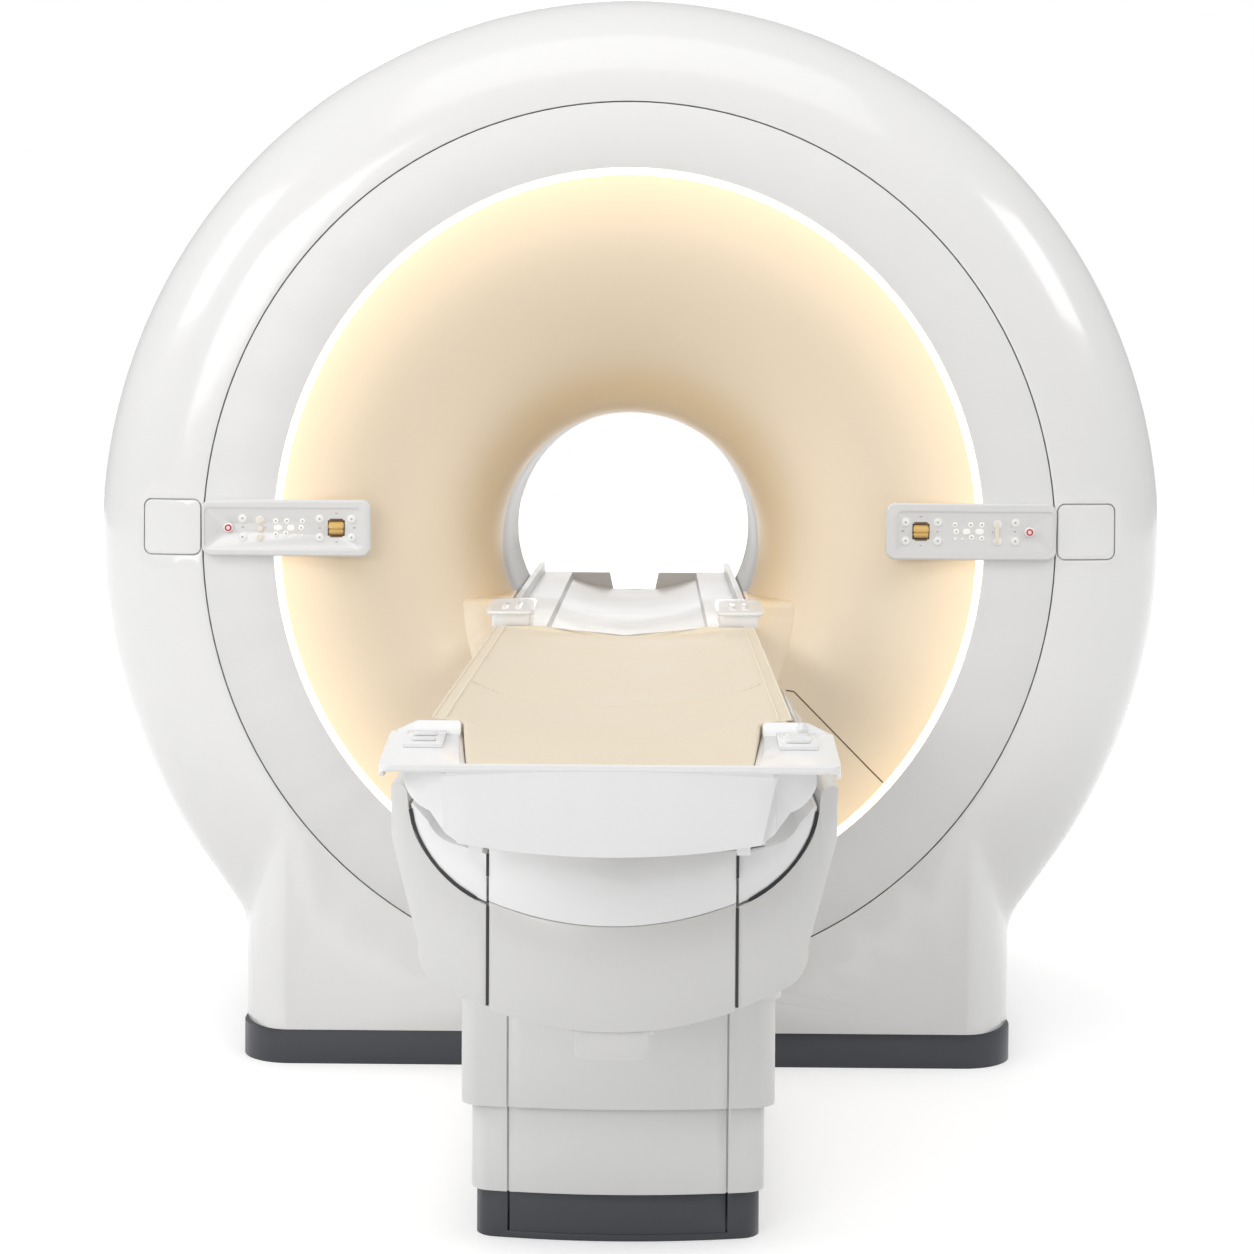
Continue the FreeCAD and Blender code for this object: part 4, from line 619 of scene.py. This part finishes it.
def pad_ring(y):
    """One cross-section of the pad: dished top, edges that lie on the top's lips, and the seat."""
    w = pad_half_width(y)
    full = w == PAD_FULL
    out = PAD_OUT if full else w
    points = []
    for k in range(TOP_STEPS + 1):
        x = out - 2 * out * k / TOP_STEPS
        points.append((x, y, pad_top(x, y)))
    low, high = pad_seat(w, y), pad_top(w, y)
    if full:
        side = [(out, LEDGE_Z), ((out + w) / 2, LEDGE_Z), (w, LEDGE_Z), (w, (LEDGE_Z + low) / 2)]
    else:
        side = [(w, low + (high - low) * share) for share in (0.8, 0.6, 0.4, 0.2)]
    points += [(-x, y, z) for x, z in side]
    for k in range(SEAT_STEPS + 1):
        x = -w + 2 * w * k / SEAT_STEPS
        points.append((x, y, pad_seat(x, y)))
    return points + [(x, y, z) for x, z in reversed(side)]


def inflate(obj, props):
    """Presses the pad outwards by a short cloth run, and gives back where its points were."""
    scene = bpy.context.scene
    start = [v.co.copy() for v in obj.data.vertices]
    cloth = obj.modifiers.new("filling", "CLOTH")
    cloth.settings.use_pressure = True
    cloth.settings.uniform_pressure_force = props.pressure
    cloth.settings.tension_stiffness = cloth.settings.compression_stiffness = CLOTH_STIFFNESS
    cloth.settings.quality = 4
    cloth.settings.effector_weights.gravity = 0.0
    cloth.collision_settings.use_collision = False
    cloth.point_cache.frame_start, cloth.point_cache.frame_end = 1, CLOTH_FRAMES
    for number in range(1, CLOTH_FRAMES + 1):
        scene.frame_set(number)
    graph = bpy.context.evaluated_depsgraph_get()
    mesh = bpy.data.meshes.new_from_object(obj.evaluated_get(graph))
    obj.modifiers.clear()
    obj.data = mesh
    scene.frame_set(1)
    return start


def seam_depth(x, y, depth):
    """How far the cover is drawn in at the bowed cross seam, with a stitched ridge beside it."""
    if y > SEAM_Y - 0.10:
        return 0.0
    off = math.hypot(x, y - SEAM_Y) - SEAM_RADIUS
    ridge = RIDGE_SHARE * depth * math.exp(-((off - RIDGE_OFF) / RIDGE_WIDTH) ** 2)
    return depth * math.exp(-(off / SEAM_WIDTH) ** 2) - ridge


def build_mattress(props):
    """Pad with a filled top, a bowed cross seam and a tongue at the head end."""
    between_ends = [a + step * k for a, b, step in PAD_RUNS for k in range(int((b - a) / step) + 1)]
    rings = [pad_ring(y) for y in sorted([*PAD_ENDS, *between_ends])]
    pad = piece("mattress_pad", *tube_rings(rings), "vinyl", "table_top", "mattress")
    count = len(rings[0])
    start = inflate(pad, props)
    for vertex, home in zip(pad.data.vertices, start):
        move = vertex.co - home
        if move.length > props.swell:
            move *= props.swell / move.length
        upper = vertex.index % count <= TOP_STEPS
        inside = (PAD_FULL - CLAMPED - abs(home.x)) / FREE_OVER
        free = max(0.0, min(1.0, inside)) if upper else 0.0
        point = home + Vector((0.0, 0.0, move.z * free))
        if upper and EAR_REAR < home.y < HEAD_FACE and abs(home.x) < PAD_FULL - 0.002:
            point.z -= seam_depth(home.x, home.y, props.groove)
        vertex.co = point
    for polygon in pad.data.polygons:
        polygon.use_smooth = True
    pad.data.materials.clear()
    pad.data.materials.append(finishes()["vinyl"])
    refine(pad)
    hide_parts("mattress")
    seam_thread(pad)


def seam_thread(pad):
    """Stitched line in the bottom of the cross seam."""
    tree = surface_tree(pad.data)
    rings, steps, r = [], 120, THREAD_RADIUS
    for k in range(steps + 1):
        x = -SEAM_HALF_W + 2 * SEAM_HALF_W * k / steps
        y = SEAM_Y - math.sqrt(SEAM_RADIUS ** 2 - x * x)
        z = tree.ray_cast(Vector((x, y, 1.2)), Vector((0, 0, -1)))[0].z
        rings.append([(x, y + r * c, z + 0.0002 + r * s) for c, s in circle(8)])
    piece("mattress_seam", *tube_rings(rings), "thread", "table_top", "mattress")


def binding(side, x, name):
    """Bound edge of the mattress cover: a bead along the table top's lip."""
    rings, steps = [], 90
    for k in range(steps + 1):
        y = EAR_REAR + 0.0022 + (HEAD_FACE - EAR_REAR - 0.0044) * k / steps
        r = BEAD_RADIUS * (0.35 if k in (0, steps) else 1.0 + 0.06 * math.sin(k * 1.9 + side))
        z = pad_top(x, y) + 0.0004
        rings.append(mirrored([(side * (x + r * c), y, z + r * s) for c, s in circle(12)], side))
    piece(name, *tube_rings(rings), "band", "table_top", "mattress")


class SCANNER_OT_mattress(bpy.types.Operator):
    """Filled mattress with its bowed seam and bound edges"""
    bl_idname = "scanner.mattress"
    bl_label = "Mattress"

    def execute(self, context):
        build_mattress(context.scene.scanner_mattress)
        for side, name in SIDES:
            for x, edge in zip(BEADS, ("inner", "outer")):
                binding(side, x, "mattress_bead_" + edge + "_" + name)
        return {"FINISHED"}


# ---------- control panels
# rows of one panel, the right one: x and the height over its middle in metres, then sizes in metres
LAMP_DISCS = ((0.704, 0.015, 0.0054), (0.738, 0.015, 0.0060), (0.762, 0.015, 0.0058),
              (0.762, -0.014, 0.0058), (0.740, -0.012, 0.0060), (0.707, 0.0005, 0.0062))
LAMP_BARS = ((0.757, 0.0, 0.019, 0.013, 0.0012, 2.4), (0.729, 0.0, 0.017, 0.013, 0.0012, 2.4),
             (0.720, -0.0155, 0.006, 0.004, 0.0008, 4.0), (0.705, -0.0155, 0.006, 0.005, 0.0008, 4.0))
KEY_DOTS = ((0.834, 0.020), (0.834, -0.020), (0.598, 0.020), (0.598, -0.020), (0.667, 0.020),
            (0.667, -0.020))
KEY_BARS = ((0.8335, 0.001, 0.005, 0.003), (0.592, 0.001, 0.006, 0.003), (0.6665, 0.0, 0.004, 0.003),
            (0.6305, 0.032, 0.006, 0.0024), (0.6305, -0.030, 0.004, 0.002), (0.785, 0.0, 0.0015, 0.004))
WHEEL_SLOTS = ((0.631, 0.0182, 0.029, 0.0046), (0.631, -0.0178, 0.027, 0.0036))
WHEEL_PROFILE = ((-1.0, 0.72), (-0.98, 0.86), (-0.9, 0.95), (-0.7, 0.99), (-0.35, 1.0), (0.0, 1.0),
                 (0.35, 1.0), (0.7, 0.99), (0.9, 0.95), (0.98, 0.86), (1.0, 0.72))
WHEEL_SIDES, WHEEL_RIBS, WAIST_ANGLE, WAIST_WIDTH = 64, 32, 14.0, 9.0
WHEEL_HALF_W = 0.0167
CREAM_SINK = 0.0016


def disc(x, y, z, r, height, segments=32, ring=0.0):
    """Flat button with a rounded rim, or a ring, that stands out towards the patient end."""
    if ring:
        profile = [(r - ring, 0.0), (r - ring, height), (r, height), (r, 0.0)]
        verts, faces = turned(profile, (x, y, z), segments)
        return verts, faces[:-2]
    profile = [(r, 0.0), (r, height * 0.6), (r * 0.93, height * 0.92), (r * 0.75, height),
               (r * 0.3, height), (r * 0.01, height * 0.94)]
    return turned(profile, (x, y, z), segments)


def lozenge(x, y, z, w, h, height, power=4.0):
    """Small raised bar with rounded corners and a softened rim."""
    rims = ((1.0, 0.0), (1.0, height * 0.6), (0.94, height), (0.6, height * 1.02))
    return tube_rings([[(x + w / 2 * grow * c, y - out, z + h / 2 * grow * s)
                        for c, s in circle(28, 2 / power)] for grow, out in rims])


def thumb_wheel(side, name):
    """Travel wheel with a finely ribbed rim and a waist across its face."""
    centre = (WHEEL_LOW + WHEEL_HIGH) / 2
    x0, y0, z0 = side * abs(centre.x), centre.y, centre.z
    radius = (WHEEL_HIGH.z - WHEEL_LOW.z) / 2 - 0.0002
    rings = []
    for t, shrink in WHEEL_PROFILE:
        ring = []
        for k in range(WHEEL_SIDES):
            a = 2 * math.pi * k / WHEEL_SIDES
            lift = math.degrees(math.atan2(math.sin(a), math.cos(a)))
            waist = math.exp(-((lift + WAIST_ANGLE) / WAIST_WIDTH) ** 2)
            bulge = 1 - math.cos(math.radians(lift - WAIST_ANGLE))
            half = WHEEL_HALF_W - 0.0028 * waist - 0.0016 * bulge * 0.8
            r = radius * shrink * (1.0 - 0.30 * waist) + 0.00018 * math.cos(a * WHEEL_RIBS)
            ring.append((x0 + t * half, y0 - r * math.cos(a), z0 + r * math.sin(a)))
        rings.append(ring)
    wheel = piece("thumb_wheel_" + name, *tube_rings(rings), "gold", "travel_wheel_" + name,
                  "travel_wheel_right")
    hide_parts("travel_wheel_" + name)


class SCANNER_OT_controls(bpy.types.Operator):
    """Lit keys, key marks, wheel slots of painted shade, stop rings and travel wheels of both control
    panels
    """
    bl_idname = "scanner.controls"
    bl_label = "Controls"

    def execute(self, context):
        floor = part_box("panel_keys")[1].y
        mid = (PANEL_LOW.z + PANEL_HIGH.z) / 2
        for side, name in SIDES:
            lamps = [disc(side * x, floor, mid + dz, r, 0.0011) for x, dz, r in LAMP_DISCS]
            lamps += [lozenge(side * x, floor, mid + dz, w, h, rise, power)
                      for x, dz, w, h, rise, power in LAMP_BARS]
            marks = [disc(side * x, floor - 0.0010, mid + dz, 0.0021, 0.0004, 12)
                     for x, dz, r in LAMP_DISCS]
            marks += [disc(side * x, floor - 0.0015, mid + dz, 0.0022, 0.0003, 12)
                      for x, dz in KEY_DOTS]
            flush = floor - 0.0001
            marks += [lozenge(side * x, flush, mid + dz, w, h, 0.0003) for x, dz, w, h in KEY_BARS]
            # painted shade: flat dark marks for the slots beside the travel wheel
            wheel_slot_shades = [lozenge(side * x, flush, mid + dz, w, h, 0.0005, 6.0)
                     for x, dz, w, h in WHEEL_SLOTS]
            if side > 0:
                creams = [lozenge(0.7945, floor - CREAM_SINK, mid - 0.001, 0.0095, 0.049, 0.0012, 5.0)]
            else:
                creams = [disc(-0.796, floor - CREAM_SINK, mid + dz, 0.0072, 0.0010)
                          for dz in (0.016, -0.001, -0.020)]
            rows = (("lit_keys_", lamps, "lamp"), ("cream_keys_", creams, "cream"),
                    ("key_marks_", marks, "key_ring"), ("wheel_slots_", wheel_slot_shades, "seam"))
            for label, parts, finish in rows:
                piece(label + name, *join_parts(parts), finish, "root", "panel_keys")
            centre = side * abs((STOP_LOW.x + STOP_HIGH.x) / 2)
            ring = disc(centre, STOP_LOW.y + 0.0010, mid, 0.0074, 0.0014, 40, ring=0.0030)
            piece("stop_ring_" + name, *ring, "stop", "stop_button_" + name, "stop_button_right")
            thumb_wheel(side, name)
        return {"FINISHED"}


# ---------- lines that follow a surface
# places in the picture, as shares of its width, that the funnel's split line runs through
SPLIT_LINE = [(0.6268, 0.5506), (0.6330, 0.5514), (0.6930, 0.6130), (0.7040, 0.6240)]
STRIP_STEP = 0.004      # spacing of a strip's points, as a share of the picture's width


def photo_ray(camera, u, v):
    """Start and direction of the camera's ray through a place in shares of the picture's width."""
    wide = camera.data.sensor_width / camera.data.lens
    direction = Vector(((u - 0.5) * wide, (0.5 - v + camera.data.shift_y) * wide, -1.0))
    turn = camera.matrix_world.to_3x3()
    return camera.matrix_world.translation.copy(), (turn @ direction).normalized()


def surface_strip(name, places, width, proud, node, finish, body):
    """Thin strip laid on a node's surface along a line of places in the picture."""
    camera = bpy.context.scene.camera
    tree = surface_tree(NODES[node].data)
    hits = []
    for (u0, v0), (u1, v1) in zip(places, places[1:]):
        steps = max(2, round(math.hypot(u1 - u0, v1 - v0) / STRIP_STEP))
        for k in range(steps + (1 if (u1, v1) == places[-1] else 0)):
            t = k / steps
            origin, way = photo_ray(camera, u0 + (u1 - u0) * t, v0 + (v1 - v0) * t)
            point, normal = tree.ray_cast(origin, way)[:2]
            if point is not None:
                hits.append((point, normal if normal.dot(way) < 0 else -normal))
    rings = []
    for k, (point, normal) in enumerate(hits):
        along = (hits[min(k + 1, len(hits) - 1)][0] - hits[max(k - 1, 0)][0]).normalized()
        across = along.cross(normal).normalized() * (width / 2)
        rings.append([point + across - normal * 0.0002, point + across * 0.8 + normal * proud,
                      point - across * 0.8 + normal * proud, point - across - normal * 0.0002])
    return piece(name, *tube_rings(rings), finish, body, node)


class SCANNER_OT_seams(bpy.types.Operator):
    """Split line of the funnel beside the table"""
    bl_idname = "scanner.seams"
    bl_label = "Seams"

    def execute(self, context):
        surface_strip("funnel_split_right", SPLIT_LINE, 0.0032, 0.0004, "funnel_front", "seam", "root")
        return {"FINISHED"}


# ---------- housing
# right half of the gap between the wing and its lip, and of the gap beside the apron, as (x, z)
LIP_GAP = ((0.186, 0.7195), (0.200, 0.7245), (0.214, 0.7320), (0.228, 0.7395), (0.243, 0.7500),
           (0.259, 0.7630), (0.272, 0.7770), (0.283, 0.7920), (0.2925, 0.8080), (0.2985, 0.8250),
           (0.3025, 0.8440))
APRON_GAP = ((0.182, 0.570), (0.182, 0.640), (0.182, 0.715), (0.182, 0.760), (0.182, 0.792))
LINING_RECESS, LINING_DEPTH = 0.0012, 0.003


def gap_shade_lining(name, line, side, node, inward, half_w):
    """Painted shade: a dark lining a little behind the surface, along a gap between two panels."""
    tree = surface_tree(NODES[node].data)
    points = []
    for x, z in line:
        hit = tree.ray_cast(Vector((side * (x + inward[0]), -4.0, z + inward[1])), Vector((0, 1, 0)))[0]
        if hit is not None:
            points.append(Vector((side * x, hit.y + LINING_RECESS, z)))
    rings = []
    for k, point in enumerate(points):
        along = (points[min(k + 1, len(points) - 1)] - points[max(k - 1, 0)]).normalized()
        across = along.cross(Vector((0, -1, 0))).normalized() * half_w
        back = Vector((0, LINING_DEPTH, 0))
        ring = [point + across, point - across, point - across + back, point + across + back]
        rings.append(mirrored(ring, side))
    piece(name, *tube_rings(rings), "gasket", "lift", node, smooth=False)


class SCANNER_OT_linings(bpy.types.Operator):
    """Painted shade: dark linings in the gaps of the lift housing"""
    bl_idname = "scanner.linings"
    bl_label = "Linings"

    def execute(self, context):
        for side, name in SIDES:
            gap_shade_lining("lip_gap_" + name, LIP_GAP, side, "wing_lip_" + name, (-0.006, 0.004), 0.0028)
            for label, line, node in (("fascia_gap_shade_", APRON_GAP[:3], "front_fascia"),
                                      ("apron_gap_shade_", APRON_GAP[2:], "front_apron")):
                gap_shade_lining(label + name, line, side, node, (-0.006, 0.0), 0.0021)
        return {"FINISHED"}


# ---------- end bow
EAR_BACK = ((-2.7380, 0.0), (-2.7240, 0.0016), (-2.7130, 0.0058), (-2.7050, 0.0126), (-2.7008, 0.0172),
            (-2.7003, 0.0174))      # (y, height over the ear) of its rear sweep
EAR_INNER, EAR_STEPS, EAR_SINK = 0.2100, 14, 0.0050
RIM_TOP_Z, RIM_SLOPE, RIM_SIDES = 1.0346, 0.073, 36
RIM_HALF_X, RIM_HALF_Y, RIM_SHIFT = 0.0475, 0.0925, 0.003
RIM_PROFILE = ((0.93, 0.0075), (1.0, 0.0045), (1.0, 0.0012), (0.975, 0.0), (0.80, -0.0002))
EAR_BARS = {    # (x, y, width, length, height) of the flat marks on an ear, painted shade for its slots, then of its levers
    "left": (((-0.2585, -2.7455, 0.026, 0.004, 0.0003), (-0.262, -2.7250, 0.004, 0.005, 0.0003)),
             ((-0.245, -2.7445, 0.030, 0.011, 0.0045), (-0.236, -2.7270, 0.020, 0.007, 0.0020),
              (-0.254, -2.7585, 0.036, 0.005, 0.0022))),
    "right": (((0.249, -2.7255, 0.040, 0.005, 0.0003), (0.256, -2.7600, 0.034, 0.004, 0.0003)),
              ((0.256, -2.7490, 0.040, 0.010, 0.0042), (0.273, -2.7560, 0.010, 0.016, 0.0030))),
}


def ear_back(side, top):
    """Rear of an ear, where it sweeps up to the table top's lip."""
    rings, outer = [], BOW_HIGH.x - 0.0006
    for k in range(EAR_STEPS + 1):
        x = EAR_INNER + (outer - EAR_INNER) * k / EAR_STEPS
        fade = 1.0 if k < EAR_STEPS - 4 else max(0.12, (EAR_STEPS - k) / 5)
        ring = [(side * x, y, top(y) + 0.0002 + h * fade) for y, h in EAR_BACK]
        ring += [(side * x, y, top(y) - 0.0012) for y, h in reversed(EAR_BACK)]
        rings.append(mirrored(ring, -side))
    return tube_rings(rings)


def head_rim(side):
    """Flared rim round the top of a connector block at the head end."""
    low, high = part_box("head_block_right")
    middle = (low + high) / 2
    rings = []
    for grow, drop in RIM_PROFILE:
        ring = []
        for c, s in circle(RIM_SIDES, 0.3):
            y = middle.y + RIM_HALF_Y * grow * s
            ring.append((side * (middle.x + RIM_SHIFT + RIM_HALF_X * grow * c), y,
                         RIM_TOP_Z + RIM_SLOPE * (y - low.y) - drop))
        rings.append(mirrored(ring, side))
    return tube_rings(rings)


class SCANNER_OT_ears(bpy.types.Operator):
    """Rear sweeps, flat slot marks of painted shade and levers of the end bow's ears, and the rims of
    the head blocks
    """
    bl_idname = "scanner.ears"
    bl_label = "Ears"

    def execute(self, context):
        low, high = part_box("ear_latch_left")
        rise = (high.z - low.z - 0.009) / (high.y - low.y)
        turn = Matrix.Rotation(-math.pi / 2, 4, "X")

        def top(y):
            """Height of the sloping ear."""
            return low.z + EAR_SINK + rise * (y - low.y)

        def laid(x, y, w, h, height):
            """Bar on the sloping ear."""
            verts, faces = lozenge(0.0, 0.0, 0.0, w, h, height, 5.0)
            place = Matrix.Translation((x, y, top(y))) @ Matrix.Rotation(math.atan(rise), 4, "X")
            return [place @ (turn @ Vector(v)) for v in verts], faces

        for side, name in SIDES:
            refine(piece("ear_back_" + name, *ear_back(side, lambda y: top(y) - EAR_SINK), "table",
                         "table_top", "end_bow"))
            piece("head_rim_" + name, *head_rim(side), "table", "table_top", "head_block_right")
        for name, (marks, levers) in EAR_BARS.items():
            # the slots are flat near-black marks: painted shade
            for label, bars, finish in (("slot_shade_marks_", marks, "gasket"), ("levers_", levers, "table")):
                piece("ear_" + label + name, *join_parts([laid(*bar) for bar in bars]), finish,
                      "table_top", "end_bow")
        return {"FINISHED"}


# ---------- studio
WHITE = (1, 1, 1, 1)
SKY_STRENGTH = 0.56
FLOOR_COLOUR, FLOOR_HALF = (0.82, 0.82, 0.82), 30
FLOOR_GLOW, FADE_CENTRE, FADE_FROM_TO = 0.40, (0.0, -0.7, 0.0), (1.2, 3.0)
SENSOR_WIDTH, CLIP_END = 36.0, 60.0
LIGHTS = (  # name, place, target, size and power
    ("overhead", (0.0, -3.4, 5.4), (0.0, -1.2, 0.9), (5.0, 3.0), 60.0),
    ("left_box", (-4.3, -2.4, 3.8), (-0.9, -0.6, 1.7), (1.5, 1.5), 42.0),
    ("right_box", (4.3, -2.4, 3.8), (0.9, -0.6, 1.7), (1.5, 1.5), 34.0),
    ("key", (-3.4, -7.6, 3.0), (0.0, -1.4, 0.9), (3.0, 2.4), 95.0),
    ("rear_fill", (0.0, 6.0, 3.0), (0.0, 0.0, 1.2), (4.0, 3.0), 60.0),
    ("bore_fill", (0.0, -0.15, 1.24), (0.0, 0.75, 0.86), (0.3, 0.2), 0.55),
)


def area_light(name, place, target, size, power):
    lamp = bpy.data.lights.new(name, "AREA")
    lamp.shape = "RECTANGLE"
    lamp.size, lamp.size_y = size
    lamp.energy = power
    obj = new_object(name, lamp)
    obj.location = place
    obj.rotation_euler = (Vector(target) - Vector(place)).to_track_quat("-Z", "Y").to_euler()
    return obj


def studio_world():
    """White for what the camera sees, softer for what lights the scanner and shows in its gloss."""
    world = bpy.data.worlds.new("studio")
    bpy.context.scene.world = world
    world.use_nodes = True
    tree = world.node_tree
    tree.nodes.clear()
    seen = add(tree, "ShaderNodeBackground", {"Color": WHITE, "Strength": 1.0})
    lit = add(tree, "ShaderNodeBackground", {"Color": WHITE, "Strength": SKY_STRENGTH})
    path = tree.nodes.new("ShaderNodeLightPath")
    shares = {0: path.outputs["Is Camera Ray"], 1: lit.outputs[0], 2: seen.outputs[0]}
    mix = add(tree, "ShaderNodeMixShader", shares)
    output = tree.nodes.new("ShaderNodeOutputWorld")
    tree.links.new(mix.outputs[0], output.inputs[0])


def floor_material():
    """Pale floor that keeps the shadow and fades to white away from the table."""
    material, tree, shader, place = material_base("studio_floor")
    put_skin(tree, shader, place, FLOOR_COLOUR, 0.7, tone=0.0, peel=40.0, depth=0.0, smudge=0.0)
    path = tree.nodes.new("ShaderNodeLightPath")
    seen = maths(tree, "MAXIMUM", path.outputs["Is Camera Ray"], path.outputs["Is Glossy Ray"])
    seen = maths(tree, "MAXIMUM", seen, path.outputs["Is Transmission Ray"])
    far = add(tree, "ShaderNodeVectorMath", {0: place, 1: FADE_CENTRE}, operation="DISTANCE")
    share = spread(tree, far.outputs["Value"], *FADE_FROM_TO, FLOOR_GLOW, 1.0)
    glow = {"Color": WHITE, "Strength": maths(tree, "MULTIPLY", seen, share)}
    white = add(tree, "ShaderNodeEmission", glow)
    both = add(tree, "ShaderNodeAddShader", {0: shader.outputs[0], 1: white.outputs[0]})
    output = next(n for n in tree.nodes if n.type == "OUTPUT_MATERIAL")
    tree.links.new(both.outputs[0], output.inputs[0])
    return material


class SCANNER_OT_studio(bpy.types.Operator):
    """Camera, floor and soft studio light"""
    bl_idname = "scanner.studio"
    bl_label = "Studio"

    def execute(self, context):
        scene, p = context.scene, context.scene.scanner_studio
        scene.view_settings.view_transform = "Standard"
        camera = new_object("camera", bpy.data.cameras.new("camera"))
        camera.data.sensor_width = SENSOR_WIDTH
        camera.data.lens = p.focal
        camera.data.shift_y = p.shift
        camera.data.clip_end = CLIP_END
        camera.matrix_world = (Matrix.Translation(p.place) @ Matrix.Rotation(p.pan, 4, "Z")
                               @ Matrix.Rotation(math.pi / 2 - p.tilt, 4, "X")
                               @ Matrix.Rotation(p.roll, 4, "Z"))
        scene.camera = camera
        mesh = bpy.data.meshes.new("floor")
        corners = [(x * FLOOR_HALF, y * FLOOR_HALF, 0) for x, y in ((-1, -1), (1, -1), (1, 1), (-1, 1))]
        mesh.from_pydata(corners, [], [(0, 1, 2, 3)])
        mesh.materials.append(floor_material())
        new_object("floor", mesh)
        studio_world()
        for row in LIGHTS:
            lamp = area_light(*row)
            if row[0] == "bore_fill":
                lamp.visible_camera = lamp.visible_glossy = False
        return {"FINISHED"}


# ---------- panel
OPERATORS = ["studio", "finishes", "mattress", "controls", "seams", "linings", "ears"]


class SCANNER_PT_panel(bpy.types.Panel):
    bl_label = "Scanner"
    bl_idname = "SCANNER_PT_panel"
    bl_space_type = "VIEW_3D"
    bl_region_type = "UI"
    bl_category = "Scanner"

    def draw(self, context):
        for name in OPERATORS:
            self.layout.operator("scanner." + name)


CLASSES = (ScannerFinishes, ScannerMattress, ScannerStudio, SCANNER_OT_studio, SCANNER_OT_finishes,
           SCANNER_OT_mattress, SCANNER_OT_controls, SCANNER_OT_seams, SCANNER_OT_linings,
           SCANNER_OT_ears, SCANNER_PT_panel)


def register():
    for cls in CLASSES:
        bpy.utils.register_class(cls)
    bpy.types.Scene.scanner_finishes = PointerProperty(type=ScannerFinishes)
    bpy.types.Scene.scanner_mattress = PointerProperty(type=ScannerMattress)
    bpy.types.Scene.scanner_studio = PointerProperty(type=ScannerStudio)


def unregister():
    del bpy.types.Scene.scanner_finishes
    del bpy.types.Scene.scanner_mattress
    del bpy.types.Scene.scanner_studio
    for cls in reversed(CLASSES):
        bpy.utils.unregister_class(cls)


def main():
    register()
    for name in OPERATORS:
        getattr(bpy.ops.scanner, name)()


if __name__ == "__main__":
    main()
